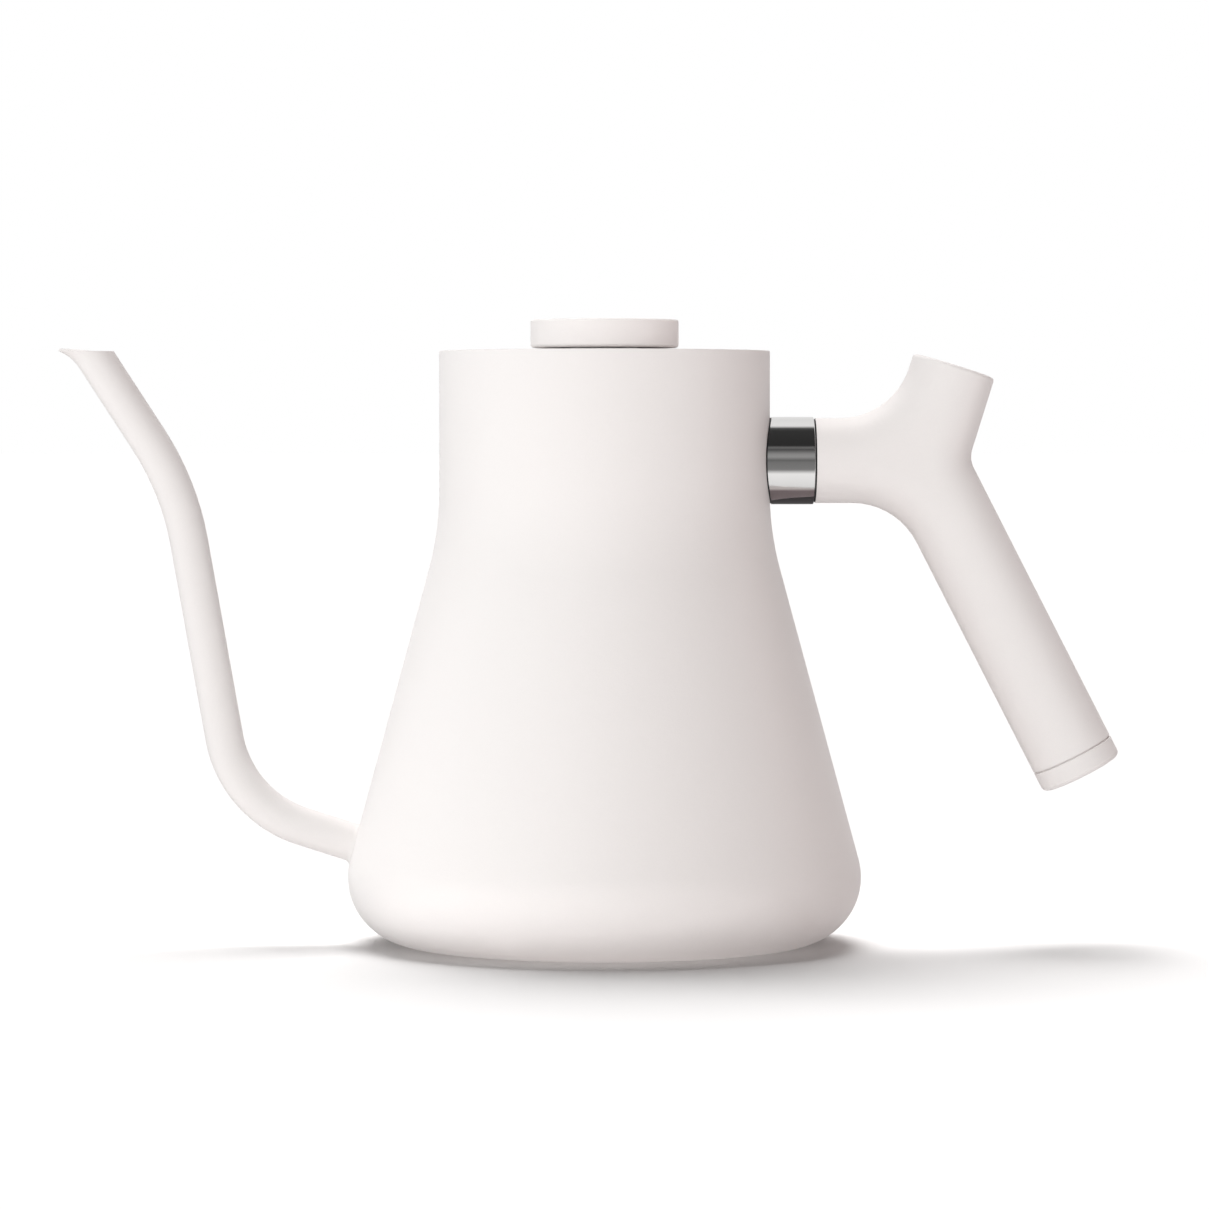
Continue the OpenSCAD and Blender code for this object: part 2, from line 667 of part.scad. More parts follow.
module grip_end_cap() color(white) along_grip() union() {
    rotate_extrude() rounded_band(handle_r, shell_end_l + seam_w, grip_l, 0, cap_edge_r);
    band(0, handle_r - seam_depth, shell_end_l, shell_end_l + seam_w + lap);
    band(0, grip_bore_r - fit, shell_end_l - spigot_l, shell_end_l + lap);
}

// ---- Lid ----------------------------------------------------------------------------------------

stem_r = stem_d / 2;
lid_r = neck_r - wall - lid_gap;
seal_r = mouth_r - fit;
carrier_r = seal_r - seal_t;
carrier_up = 0.25;                              // the carrier's height in the sleeve, from 0 (low) to 1
carrier_z = sleeve_z + wall + carrier_up * (ledge_z - sleeve_z - seal_h);
carrier_lip = 0.6 * seal_t;                     // reach of the lip under the seal
seal_back = 0.45 * seal_t;                      // thickness of the seal between its two lips
lip_h = 0.25 * seal_h;                          // height of each of those lips
seal_z = carrier_z + wall;
vent_first = 30;                                // degrees from +X to the first vent

module lid_top() color(white) difference() {
    rotate_extrude() rounded_band(lid_r, ledge_z + rest_gap, lid_top_z, 0, lid_edge_r);
    translate([0, 0, ledge_z - overrun]) cylinder(r = lid_r - wall, h = lid_under_z - ledge_z + overrun);
    translate([0, 0, lid_under_z - overrun]) cylinder(r = stem_r + fit, h = wall + 2 * overrun);
    for (k = [0 : vents - 1]) rotate([0, 0, vent_first + 360 / vents * k])
        translate([vent_at_r, 0, lid_under_z - overrun]) cylinder(r = vent_d / 2, h = wall + 2 * overrun);
}

// The steel ring welded under the lid, which carries the seal on its outward lip.
module seal_carrier() color(steel) rotate_extrude() polygon([
    [carrier_r - wall, carrier_z], [carrier_r + carrier_lip, carrier_z],
    [carrier_r + carrier_lip, seal_z], [carrier_r, seal_z], [carrier_r, lid_under_z],
    [carrier_r - carrier_flange, lid_under_z], [carrier_r - carrier_flange, lid_under_z - wall],
    [carrier_r - wall, lid_under_z - wall],
]);

module lid_seal() color(grey_rubber) union() {
    band(carrier_r, carrier_r + seal_back, seal_z, seal_z + seal_h);
    band(carrier_r, seal_r, seal_z, seal_z + lip_h);
    band(carrier_r, seal_r, seal_z + seal_h - lip_h, seal_z + seal_h);
}

module lid_washer() color(grey_rubber)
    band(stem_r + fit, seal_washer_d / 2, lid_under_z - seal_washer_t, lid_under_z);

module lid_nut() color(steel) difference() {
    translate([0, 0, lid_under_z - seal_washer_t - nut_h])
        cylinder(r = nut_w / 2 / cos(30), h = nut_h, $fn = 6);
    translate([0, 0, lid_under_z - seal_washer_t - nut_h - overrun])
        cylinder(r = stem_r, h = nut_h + 2 * overrun);
}

// ---- Knob and thermometer -----------------------------------------------------------------------

knob_z = lid_top_z + knob_gap;
knob_top_z = knob_z + knob_h;
pocket_r = knob_r - knob_rim;
case_z = knob_z + knob_floor;
case_r = pocket_r - fit;
case_in_r = case_r - case_wall;
case_top_z = knob_top_z - bezel_drop;
dial_z = case_z + case_wall + dial_lift;
dial_top_z = dial_z + dial_t;
window_z = case_top_z - bezel_t - window_t;
dial_r = case_in_r - fit;
dial_seat_w = 1.5;                              // width of the ledge under the dial
spacer_w = 1.1;                                 // width of the ring that holds the dial down
stem_z = lid_under_z - stem_l;
bearing_l = 3;                                  // length of the spindle's bearing
spindle_r = spindle_d / 2;
boss_wall = 1.2;                                // wall of the boss round the bearing, inside the case
boss_r = spindle_r + boss_wall;
boss_gap = 0.3;                                 // gap between the boss and the dial's upper face
boss_top_z = dial_z - boss_gap;
probe_r = probe_d / 2;
probe_bore_r = probe_r - probe_wall;
probe_top_z = stem_z + probe_seat;
probe_floor_z = probe_z + probe_r;
coil_top_z = probe_floor_z + coil_l;
pointer_gap = 0.5;                              // gap between the dial and the pointer
pointer_z = dial_top_z + pointer_gap;
hub_rise = 0.5;                                 // height of the hub over the pointer
hub_h = pointer_t + hub_rise;
pointer_rest = -45;                             // the pointer's direction when cold, in degrees from +X
pointer_tip_w = 0.4;                            // width of the pointer at its tip

module knob_spacer() color(steel) band(stem_r + fit, foot_spacer_d / 2, lid_top_z, knob_z);

module knob_housing() color(white) difference() {
    rotate_extrude() rounded_band(knob_r, knob_z, knob_top_z, knob_edge_r, knob_top_r);
    translate([0, 0, case_z]) cylinder(r = pocket_r, h = knob_h);
    translate([0, 0, knob_z - overrun]) cylinder(r = stem_r + fit, h = knob_h);
}

module thermometer_case() color(polished) difference() {
    union() {
        band(0, case_r, case_z, case_z + case_wall);
        band(case_in_r, case_r, case_z, case_top_z);
        band(case_r - bezel_w, case_r, case_top_z - bezel_t, case_top_z);
        band(case_in_r - dial_seat_w, case_r, case_z, dial_z);
        band(0, boss_r, case_z, boss_top_z);
        band(0, stem_r, stem_z, case_z + lap);
    }
    band(0, probe_r, stem_z - overrun, probe_top_z);
    band(0, probe_bore_r, stem_z, boss_top_z - bearing_l);
    band(0, spindle_r + fit, stem_z, boss_top_z + overrun);
}

module dial_plate() color(dial_white) band(boss_r, dial_r, dial_z, dial_top_z);

module dial_spacer() color(black) band(dial_r - spacer_w, dial_r, dial_top_z, window_z);

module dial_window() color(clear) band(0, dial_r, window_z, window_z + window_t);

module probe_tube() color(steel) difference() {
    rotate_extrude() {
        translate([0, probe_z + probe_r]) square([probe_r, probe_top_z - probe_z - probe_r]);
        translate([0, probe_z + probe_r]) quarter(probe_r, false);
    }
    translate([0, 0, probe_floor_z]) cylinder(r = probe_bore_r, h = probe_top_z);
}

module bimetal_coil() color(bronze) band(coil_d / 2 - coil_t, coil_d / 2, probe_floor_z, coil_top_z);

module pointer() color(orange) rotate([0, 0, pointer_rest]) difference() {
    union() {
        translate([0, 0, pointer_z]) linear_extrude(pointer_t) polygon([
            [-pointer_tail, -pointer_w / 2], [pointer_l, -pointer_tip_w / 2],
            [pointer_l, pointer_tip_w / 2], [-pointer_tail, pointer_w / 2],
        ]);
        translate([0, 0, pointer_z]) cylinder(r = hub_d / 2, h = hub_h);
    }
    translate([0, 0, pointer_z - overrun]) cylinder(r = spindle_r, h = hub_h + 2 * overrun);
}

module pointer_spindle() color(steel) band(0, spindle_r, coil_top_z + rest_gap, pointer_z + hub_h);

body_shell();
base_floor();
heat_disc();
base_capsule();
neck_ring();
spout_tube();
handle_tenon();
collar_body_gasket();
handle_collar();
collar_handle_gasket();
handle_shell();
handle_screw();
screw_washer();
thumb_plug();
counterweight();
grip_end_cap();
lid_top();
seal_carrier();
lid_seal();
knob_spacer();
knob_housing();
thermometer_case();
dial_plate();
dial_spacer();
dial_window();
probe_tube();
bimetal_coil();
lid_washer();
lid_nut();
pointer();
pointer_spindle();
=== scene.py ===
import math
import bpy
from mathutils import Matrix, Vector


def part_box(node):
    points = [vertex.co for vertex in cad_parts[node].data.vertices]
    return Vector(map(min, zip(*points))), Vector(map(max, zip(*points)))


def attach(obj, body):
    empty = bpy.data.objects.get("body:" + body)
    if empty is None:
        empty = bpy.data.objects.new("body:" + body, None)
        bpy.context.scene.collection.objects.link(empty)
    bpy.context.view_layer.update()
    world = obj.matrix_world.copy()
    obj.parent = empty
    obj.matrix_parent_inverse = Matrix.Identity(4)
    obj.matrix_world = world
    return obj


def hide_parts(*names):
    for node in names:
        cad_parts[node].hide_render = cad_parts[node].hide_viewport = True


bl_info = {
    "name": "Gooseneck Kettle",
    "version": (1, 0, 0),
    "blender": (4, 5, 0),
    "location": "3D View > Sidebar > Kettle",
    "description": "Models the visible skins of a gooseneck kettle over its frame, and sets up its studio",
    "category": "Object",
}

import bpy
from bpy.props import FloatProperty, FloatVectorProperty, IntProperty, PointerProperty
from mathutils import Vector

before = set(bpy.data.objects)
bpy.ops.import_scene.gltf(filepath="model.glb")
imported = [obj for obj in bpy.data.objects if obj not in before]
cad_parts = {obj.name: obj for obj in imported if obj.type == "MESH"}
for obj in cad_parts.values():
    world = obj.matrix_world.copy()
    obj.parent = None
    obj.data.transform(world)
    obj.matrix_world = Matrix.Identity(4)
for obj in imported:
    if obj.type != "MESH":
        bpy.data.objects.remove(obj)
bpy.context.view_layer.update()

TOLERANCE = 1e-6        # points nearer than this are one
FIT = 0.00005           # radial clearance of a fit, as in the frame
STRAIGHT = math.radians(0.2)        # faces of a copy that turn less than this are one
BODY_SIDES, LID_SIDES, CASE_SIDES, HANDLE_SIDES, TUBE_SIDES = 240, 192, 160, 96, 64

ROOT_DEPTH = 0.45       # how deep the spout's skin starts in the wall, as a share of the sheet
STRIDE = 0.003          # longest straight step along the spout
BEND_STEP = 3.0         # degrees of one step of its bends
FLARE_STEPS = 18
MOUTH_MERGE = 0.0002    # points of the mouth's cut that are nearer than this are merged
CAP_CHAMFER = 0.0001    # broken corner of the end cap at its seam
FIRST_VENT = math.radians(30.0)     # direction of the first steam vent, from +X
DIAL_SEAT = 0.0015      # width of the ledge under the dial plate
TICKS = {"long": (1.9, 1.8), "middle": (1.45, 1.2), "short": (1.0, 1.0)}    # length and width by kind
UNIT_PLACE, UNIT_HEIGHT = 0.62, 0.85        # the unit's place and height, by those of the numbers

# Painted reflection: the collar's lowest strip is painted dark, as the steel would mirror the shade between
# arm and body. Its height by the collar's radius, its soft edge, its colour
PAINTED_REFLECTION_HEIGHT, PAINTED_REFLECTION_EDGE, PAINTED_REFLECTION_COLOUR = 0.66, 0.0003, (0.30, 0.265, 0.275, 1.0)
# What glossy surfaces mirror: degrees from the front up over the top, and brightness
MIRRORED = [(-180, 0.9), (-160, 0.14), (-84, 0.14), (-73, 0.85), (-35, 1.0), (-28, 0.5), (-24, 0.24),
            (-4, 0.2), (1, 0.14), (10, 0.34), (17, 0.3), (29, 0.07), (33, 0.16), (36, 0.16), (39, 0.03),
            (85, 0.04), (95, 0.08), (104, 0.92), (140, 0.85), (180, 0.9)]
WARM, COOL, BLUSH, PLAIN = (1.0, 0.972, 0.96), (0.88, 0.97, 0.99), (1.0, 0.62, 0.58), (1.0, 0.985, 0.98)
DAYLIGHT, FILL_COLOUR = (0.985, 1.0, 0.992), (1.0, 0.93, 0.91)
STRIP_PLACE, STRIP_AIM, STRIP_SIZE = (-0.04, -0.117, -0.055), (-0.04, -0.05, 0.03), (0.4, 0.06)
PAPER_SIZE = 60.0


# ---- Node helpers ----


def new_material(name):
    """A material with an empty node tree, its Principled shader and its output."""
    material = bpy.data.materials.new(name)
    material.use_nodes = True
    tree = material.node_tree
    tree.nodes.clear()
    output = tree.nodes.new("ShaderNodeOutputMaterial")
    shader = tree.nodes.new("ShaderNodeBsdfPrincipled")
    tree.links.new(shader.outputs["BSDF"], output.inputs["Surface"])
    return material, tree, shader


def feed(tree, made, inputs):
    """Set the inputs of a node. A value that is a socket is linked."""
    for key, value in inputs.items():
        if isinstance(value, bpy.types.NodeSocket):
            tree.links.new(value, made.inputs[key])
        else:
            made.inputs[key].default_value = value


def node(tree, kind, inputs=None, **settings):
    """A node with its settings and inputs."""
    made = tree.nodes.new(kind)
    for key, value in settings.items():
        setattr(made, key, value)
    feed(tree, made, inputs or {})
    return made


def object_place(tree):
    """Object coordinates."""
    return node(tree, "ShaderNodeTexCoord").outputs["Object"]


def noise(tree, place, scale, detail, rough=0.5):
    """A noise from 0 to 1."""
    inputs = {"Vector": place, "Scale": scale, "Detail": detail, "Roughness": rough}
    return node(tree, "ShaderNodeTexNoise", inputs).outputs["Fac"]


def spread(tree, value, low, high):
    """The 0 to 1 value spread between low and high."""
    made = node(tree, "ShaderNodeMapRange", {"Value": value, "To Min": low, "To Max": high})
    return made.outputs["Result"]


def mix_colour(tree, share, first, second):
    """A share of the second colour in the first. Each may be a value or a socket."""
    return node(tree, "ShaderNodeMix", {0: share, 6: first, 7: second}, data_type="RGBA").outputs[2]


def bump(tree, height, distance, share, under=None):
    """A normal from a height, over another bump if there is one."""
    inputs = {"Height": height, "Distance": distance, "Strength": share}
    if under is not None:
        inputs["Normal"] = under
    return node(tree, "ShaderNodeBump", inputs).outputs["Normal"]


def rgba(colour, shade=1.0):
    """A colour with its alpha, darkened by a factor."""
    return (colour[0] * shade, colour[1] * shade, colour[2] * shade, 1.0)


# ---- Finishes ----


def powder_coat(name, settings):
    """Powder coat: a fine satin grain over a soft orange peel. The moulded handle has the same look."""
    material, tree, shader = new_material(name)
    place = object_place(tree)
    grain = noise(tree, place, 2600.0, 2.0, 0.6)
    peel = noise(tree, place, 520.0, 1.0)
    cloud = noise(tree, place, 26.0, 3.0)
    light, deep = rgba(settings.coat_colour), rgba(settings.coat_colour, 0.965)
    feed(tree, shader, {
        "Base Color": mix_colour(tree, spread(tree, grain, 0.0, 1.0), deep, light),
        "Roughness": spread(tree, cloud, settings.coat_roughness - 0.05, settings.coat_roughness + 0.05),
        "Normal": bump(tree, grain, 0.00005, settings.coat_grain, bump(tree, peel, 0.00006, 0.5)),
        "IOR": 1.48})
    return material


def metal(name, colour, roughness, grain_scale, stretch, depth):
    """Bare metal with a drawn grain: the noise is stretched along one axis."""
    material, tree, shader = new_material(name)
    place = node(tree, "ShaderNodeMapping", {"Vector": object_place(tree), "Scale": stretch})
    grain = noise(tree, place.outputs["Vector"], grain_scale, 3.0, 0.6)
    cloud = noise(tree, object_place(tree), 60.0, 3.0)
    feed(tree, shader, {
        "Base Color": mix_colour(tree, cloud, rgba(colour, 0.93), rgba(colour)),
        "Roughness": spread(tree, grain, roughness * 0.75, roughness * 1.3),
        "Normal": bump(tree, grain, depth, 0.6),
        "Metallic": 1.0})
    return material


def rubber(name, colour):
    """A matt skin with a fine grain: rubber, silicone, enamel, paint or ink."""
    material, tree, shader = new_material(name)
    grain = noise(tree, object_place(tree), 1800.0, 3.0)
    feed(tree, shader, {
        "Base Color": mix_colour(tree, grain, rgba(colour, 0.8), rgba(colour)),
        "Roughness": spread(tree, grain, 0.5, 0.7),
        "Normal": bump(tree, grain, 0.00003, 0.4)})
    return material


def glass():
    """Clear glass with a faint haze."""
    material, tree, shader = new_material("window_glass")
    haze = noise(tree, object_place(tree), 90.0, 3.0)
    feed(tree, shader, {
        "Roughness": spread(tree, haze, 0.01, 0.03),
        "Base Color": (0.97, 0.99, 0.99, 1.0),
        "Transmission Weight": 1.0,
        "IOR": 1.45})
    return material


def assign(nodes, material):
    """Give a material to all the slots of some CAD nodes."""
    for name in nodes:
        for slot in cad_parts[name].material_slots:
            slot.material = material


# ---- Modelling helpers ----


def deselect():
    bpy.ops.object.select_all(action="DESELECT")


def activate(piece):
    """Select one piece only and make it the active one."""
    deselect()
    piece.select_set(True)
    bpy.context.view_layer.objects.active = piece


def edit(piece):
    """Enter edit mode on one piece, with nothing selected."""
    activate(piece)
    bpy.ops.object.mode_set(mode="EDIT")
    bpy.ops.mesh.select_all(action="DESELECT")


def leave_edit():
    bpy.ops.object.mode_set(mode="OBJECT")


def pick(piece, edge=None, face=None):
    """Select the edges or the faces that pass a test of place or normal, from edit mode."""
    bpy.ops.mesh.select_all(action="DESELECT")
    bpy.ops.mesh.select_mode(type="EDGE" if edge else "FACE")
    leave_edit()
    mesh = piece.data
    if edge:
        for line in mesh.edges:
            line.select = edge(*(mesh.vertices[index].co for index in line.vertices))
    else:
        for flat in mesh.polygons:
            flat.select = face(flat.center, flat.normal)
    bpy.ops.object.mode_set(mode="EDIT")


def apply_place(piece):
    """Put a piece's place, turn and scale into its mesh."""
    activate(piece)
    bpy.ops.object.transform_apply(location=True, rotation=True, scale=True)


def apply_modifier(piece, kind, **settings):
    """Add a modifier, set it and apply it."""
    activate(piece)
    made = piece.modifiers.new(kind.lower(), kind)
    for key, value in settings.items():
        setattr(made, key, value)
    bpy.ops.object.modifier_apply(modifier=made.name)


def thicken(piece, sheet):
    """Thicken a skin inwards, with the second material inside."""
    apply_modifier(piece, "SOLIDIFY", thickness=sheet, offset=-1.0, use_even_offset=True, material_offset=1)


def smooth(piece, degrees=30.0):
    """Smooth shading up to an angle, with flat faces keeping their own normal."""
    activate(piece)
    bpy.ops.object.shade_smooth_by_angle(angle=math.radians(degrees))
    apply_modifier(piece, "WEIGHTED_NORMAL", keep_sharp=True, weight=100)
    return piece


def merge(distance):
    """Merge the doubles of the mesh in edit mode, and leave it all selected."""
    bpy.ops.mesh.select_all(action="SELECT")
    bpy.ops.mesh.remove_doubles(threshold=distance)


def face_out(piece):
    """Merge a skin's doubles and turn its faces outwards, away from the middle of what it encloses."""
    edit(piece)
    merge(TOLERANCE)
    bpy.ops.mesh.normals_make_consistent(inside=False)
    leave_edit()
    mesh = piece.data
    middle = sum((vertex.co for vertex in mesh.vertices), Vector()) / len(mesh.vertices)
    if sum(face.area * face.normal.dot(face.center - middle) for face in mesh.polygons) < 0:
        edit(piece)
        bpy.ops.mesh.select_all(action="SELECT")
        bpy.ops.mesh.flip_normals()
        leave_edit()


def copied(name, source):
    """A merged copy of one CAD node's mesh, with its flat faces each in one piece."""
    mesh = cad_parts[source].data.copy()
    piece = bpy.data.objects.new(name, mesh)
    bpy.context.scene.collection.objects.link(piece)
    edit(piece)
    merge(TOLERANCE)
    bpy.ops.mesh.dissolve_limited(angle_limit=STRAIGHT)
    leave_edit()
    return piece


def arc(centre, radius, start, end, steps):
    """Points [radius, height] of an arc between two angles in degrees."""
    angles = [math.radians(start + (end - start) * step / steps) for step in range(steps + 1)]
    return [(centre[0] + radius * math.cos(a), centre[1] + radius * math.sin(a)) for a in angles]


def turned(name, profile, sides, closed=True):
    """A piece of revolution: a circle extruded and resized from one point of the profile to the next.

    A profile that starts or ends on the axis is closed there. Any other one returns to its first point,
    unless closed is False.
    """
    deselect()
    solid = profile[0][0] < TOLERANCE
    points = profile[1:] if solid else list(profile)
    if closed and not solid:
        points.append(points[0])
    radius, height = points[0]
    fill = "TRIFAN" if solid else "NOTHING"
    bpy.ops.mesh.primitive_circle_add(
        vertices=sides, radius=radius, fill_type=fill, location=(0.0, 0.0, height))
    piece = bpy.context.object
    piece.name = piece.data.name = name
    edit(piece)
    rim = (radius - TOLERANCE) * math.cos(math.pi / sides)
    pick(piece, edge=lambda a, b: min(a.to_2d().length, b.to_2d().length) > rim)
    for next_radius, next_height in points[1:]:
        bpy.ops.mesh.extrude_edges_move(TRANSFORM_OT_translate={"value": (0.0, 0.0, next_height - height)})
        growth = next_radius / radius
        bpy.ops.transform.resize(value=(growth, growth, 1.0), center_override=(0.0, 0.0, next_height))
        radius, height = next_radius, next_height
    leave_edit()
    apply_place(piece)
    face_out(piece)
    return piece


def lean(piece, place, angle):
    """Turn a finished piece of revolution about Y and set it at its place."""
    piece.rotation_euler = (0.0, angle, 0.0)
    piece.location = place
    apply_place(piece)


def cut(piece, cutters):
    """Cut holes with round cutters: (place, direction, radius, length). They are removed again."""
    for place, direction, radius, length in cutters:
        deselect()
        turn = Vector(direction).to_track_quat("Z", "Y").to_euler()
        bpy.ops.mesh.primitive_cylinder_add(
            vertices=TUBE_SIDES, radius=radius, depth=length, location=place, rotation=turn)
        cutter = bpy.context.object
        apply_modifier(piece, "BOOLEAN", object=cutter, operation="DIFFERENCE", solver="EXACT")
        bpy.data.objects.remove(cutter)


def finish(piece, body, replaced, materials):
    """Give a piece its materials by name and its body, and hide the CAD nodes it stands for."""
    piece.data.materials.clear()
    for material in materials:
        piece.data.materials.append(bpy.data.materials[material])
    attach(piece, body)
    if replaced:
        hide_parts(*replaced)


# ---- Sizes and colours ----


# Each of these functions makes one property that a user may change.


def length_prop(name, description, default):
    """A length."""
    return FloatProperty(name=name, description=description, default=default, unit="LENGTH")


def angle_prop(name, description, degrees):
    """An angle, given in degrees."""
    return FloatProperty(name=name, description=description, default=math.radians(degrees), subtype="ANGLE")


def strength_prop(name, description, default):
    """A strength from 0 up."""
    return FloatProperty(name=name, description=description, default=default, min=0.0)


def count_prop(name, description, default, low, high=1000):
    """A whole number."""
    return IntProperty(name=name, description=description, default=default, min=low, max=high)


def place_prop(name, description, default):
    """A place."""
    return FloatVectorProperty(
        name=name, description=description, default=default, size=3, subtype="TRANSLATION", unit="LENGTH")


def colour_prop(name, description, default):
    """A colour."""
    return FloatVectorProperty(
        name=name, description=description, default=default, size=3, subtype="COLOR", min=0.0, max=1.0)


def share_prop(name, description, default, low):
    """A share up to 1."""
    return FloatProperty(
        name=name, description=description, default=default, subtype="FACTOR", min=low, max=1.0)


class KETTLE_PG_body(bpy.types.PropertyGroup):
    foot_radius: length_prop("Foot radius", "Where the flat foot ring meets the rounded corner", 0.0525)
    corner_radius: length_prop("Corner radius", "Radius of the rounded bottom corner", 0.0185)
    wall_lean: angle_prop("Wall lean", "Lean of the side wall from vertical", 15.2)
    shoulder_radius: length_prop(
        "Shoulder radius", "Radius of the hollow blend between the side wall and the neck", 0.084)
    neck_radius: length_prop("Neck radius", "Outer radius of the neck", 0.04565)
    sheet: length_prop("Sheet", "Thickness of the steel sheet", 0.0008)
    edge_radius: length_prop("Edge radius", "Rounding of the coated edges", 0.00025)


class KETTLE_PG_spout(bpy.types.PropertyGroup):
    radius: length_prop("Tube radius", "Outer radius of the spout tube", 0.00525)
    sheet: length_prop("Tube wall", "Wall of the spout tube", 0.0008)
    low_corner: place_prop("Low corner", "Low corner of the centre line", (-0.1018, 0.0, 0.0383))
    high_corner: place_prop("High corner", "High corner of the centre line", (-0.1174, 0.0, 0.1264))
    root_rise: angle_prop("Root rise", "Rise of the spout where it leaves the body", 17.9)
    mouth_lean: angle_prop("Mouth lean", "Lean of the last stretch from vertical", 32.9)
    low_bend: length_prop("Low bend", "Centre-line radius of the low bend", 0.0316)
    high_bend: length_prop("High bend", "Centre-line radius of the high bend", 0.076)
    lip_curl: length_prop("Lip curl", "Radius of the curl that flares the pouring lip", 0.012)
    lip_start: length_prop(
        "Lip start", "Length of tube before the mouth's centre at which the flare starts", 0.0023)
    weld_radius: length_prop("Weld radius", "Radius of the weld's fillet round the root", 0.0018)


class KETTLE_PG_handle(bpy.types.PropertyGroup):
    radius: length_prop("Handle radius", "Radius of the arm, the thumb rest and the grip", 0.01175)
    arm_height: length_prop("Arm height", "Height of the arm's centre line", 0.1336)
    grip_x: length_prop("Grip root", "Where the grip's centre line crosses the arm's", 0.088)
    rest_x: length_prop("Thumb rest root", "Where the thumb rest's centre line crosses the arm's", 0.0885)
    grip_lean: angle_prop("Grip lean", "Lean of the grip from vertical", 27.1)
    rest_lean: angle_prop("Thumb rest lean", "Lean of the thumb rest from vertical", 17.3)
    grip_length: length_prop("Grip length", "From the arm's centre line to the end of the cap", 0.0974)
    rest_length: length_prop(
        "Thumb rest length", "From the arm's centre line to the thumb rest's end face", 0.0274)
    cap_length: length_prop("Cap length", "Length of the end cap on the grip", 0.0063)
    cap_edge: length_prop("Cap edge", "Radius of the end cap's rounded edge", 0.0016)
    seam: length_prop("Seam", "Width of the groove between the grip and its cap", 0.0005)
    plug_radius: length_prop("Plug radius", "Radius of the plug in the thumb rest's end", 0.0085 - FIT)
    plug_length: length_prop("Plug length", "Length of the plug", 0.003)
    plug_edge: length_prop("Plug edge", "Radius of the plug's edges", 0.0003)
    collar_radius: length_prop("Collar radius", "Outer radius of the polished collar", 0.0121)
    collar_wall: length_prop("Collar wall", "Wall of the collar", 0.0015)
    collar_edge: length_prop("Collar edge", "Radius of the edge of the collar's end", 0.0002)
    gasket: length_prop("Gasket", "Thickness of the gaskets at both ends of the collar", 0.0005)


class KETTLE_PG_lid(bpy.types.PropertyGroup):
    edge_radius: length_prop("Lid edge", "Radius of the lid's rounded top edge", 0.0005)
    vents: count_prop("Vents", "Number of steam vents", 3, 0, 6)
    vent_radius: length_prop("Vent radius", "Radius of one steam vent", 0.0015)
    vent_ring: length_prop("Vent ring", "Distance of the vents from the lid's centre", 0.028)
    knob_rim: length_prop("Knob rim", "Width of the knob's rim round the thermometer", 0.0026)
    knob_floor: length_prop("Knob floor", "Thickness of the knob's floor", 0.002)
    knob_low_edge: length_prop("Knob's low edge", "Radius of the knob's bottom edge", 0.001)
    knob_top_edge: length_prop("Knob's top edge", "Radius of the knob's top edge", 0.0007)
    bezel_width: length_prop("Bezel width", "Width of the case's rolled edge", 0.0011)
    bezel_sheet: length_prop("Bezel sheet", "Thickness of the case's rolled edge", 0.0003)
    case_wall: length_prop("Case wall", "Wall of the case", 0.0006)
    broken_edge: length_prop("Broken edge", "Width of the broken edges of turned fittings", 0.00012)
    stem_radius: length_prop("Stem radius", "Radius of the thermometer's stem", 0.004)


class KETTLE_PG_dial(bpy.types.PropertyGroup):
    lowest: count_prop("Lowest", "Lowest number on the dial", 20, 0)
    highest: count_prop("Highest", "Highest number on the dial", 100, 1)
    number_step: count_prop("Step", "Step from one number to the next", 20, 1)
    ticks_per_number: count_prop("Ticks", "Ticks from one number to the next", 10, 2)
    sweep: angle_prop("Sweep", "Angle from the lowest to the highest mark", 270.0)
    start: angle_prop("Start", "Direction of the lowest mark, from +X", -45.0)
    ring_radius: length_prop("Tick ring", "Outer radius of the ticks", 0.0152)
    tick_length: length_prop("Tick", "Length of a short tick", 0.0013)
    tick_width: length_prop("Tick width", "Width of a short tick", 0.00028)
    number_radius: length_prop("Number ring", "Radius at which the numbers stand", 0.0102)
    number_height: length_prop("Number height", "Height of the type", 0.0035)
    number_weight: length_prop("Number weight", "Growth of the type's outline", 0.00006)
    ink: length_prop("Ink", "Thickness of the printed marks", 0.00003)


class KETTLE_PG_finish(bpy.types.PropertyGroup):
    coat_colour: colour_prop("Coat", "Colour of the powder coat", (0.80, 0.765, 0.755))
    coat_roughness: share_prop("Coat roughness", "Mean roughness of the powder coat", 0.5, 0.1)
    coat_grain: share_prop("Coat grain", "Strength of the powder coat's fine grain", 0.5, 0.0)


class KETTLE_PG_studio(bpy.types.PropertyGroup):
    camera_distance: length_prop(
        "Camera distance", "From the kettle's axis to the camera, along the floor", 1.41)
    camera_height: length_prop("Camera height", "Height of the camera over the floor", 0.1418)
    camera_aim: length_prop("Aim height", "Height on the kettle's axis that the camera aims at", 0.0938)
    camera_turn: angle_prop("Camera turn", "Turn of the camera round the kettle, towards the handle", -1.0)
    lens: FloatProperty(
        name="Lens", description="Focal length for a 36 mm wide sensor", default=151.86, min=10.0,
        unit="CAMERA")
    front_light: strength_prop("Front light", "Strength of the wide light in front, to the left", 2.17)
    spout_light: strength_prop("Spout side light", "Strength of the light over the spout side", 0.75)
    handle_light: strength_prop("Handle side light", "Strength of the weak light from the handle side", 0.3)
    rear_light: strength_prop("Rear light", "Strength of the high light behind the kettle", 3.74)
    bounce: strength_prop("Bounce", "Strength of the light that the paper throws up from the front", 0.8)
    fill: strength_prop("Fill", "Strength of the even light from all sides", 0.04)
    floor_colour: colour_prop("Floor", "Colour of the floor", (0.98, 0.98, 0.98))


# ---- Operators ----


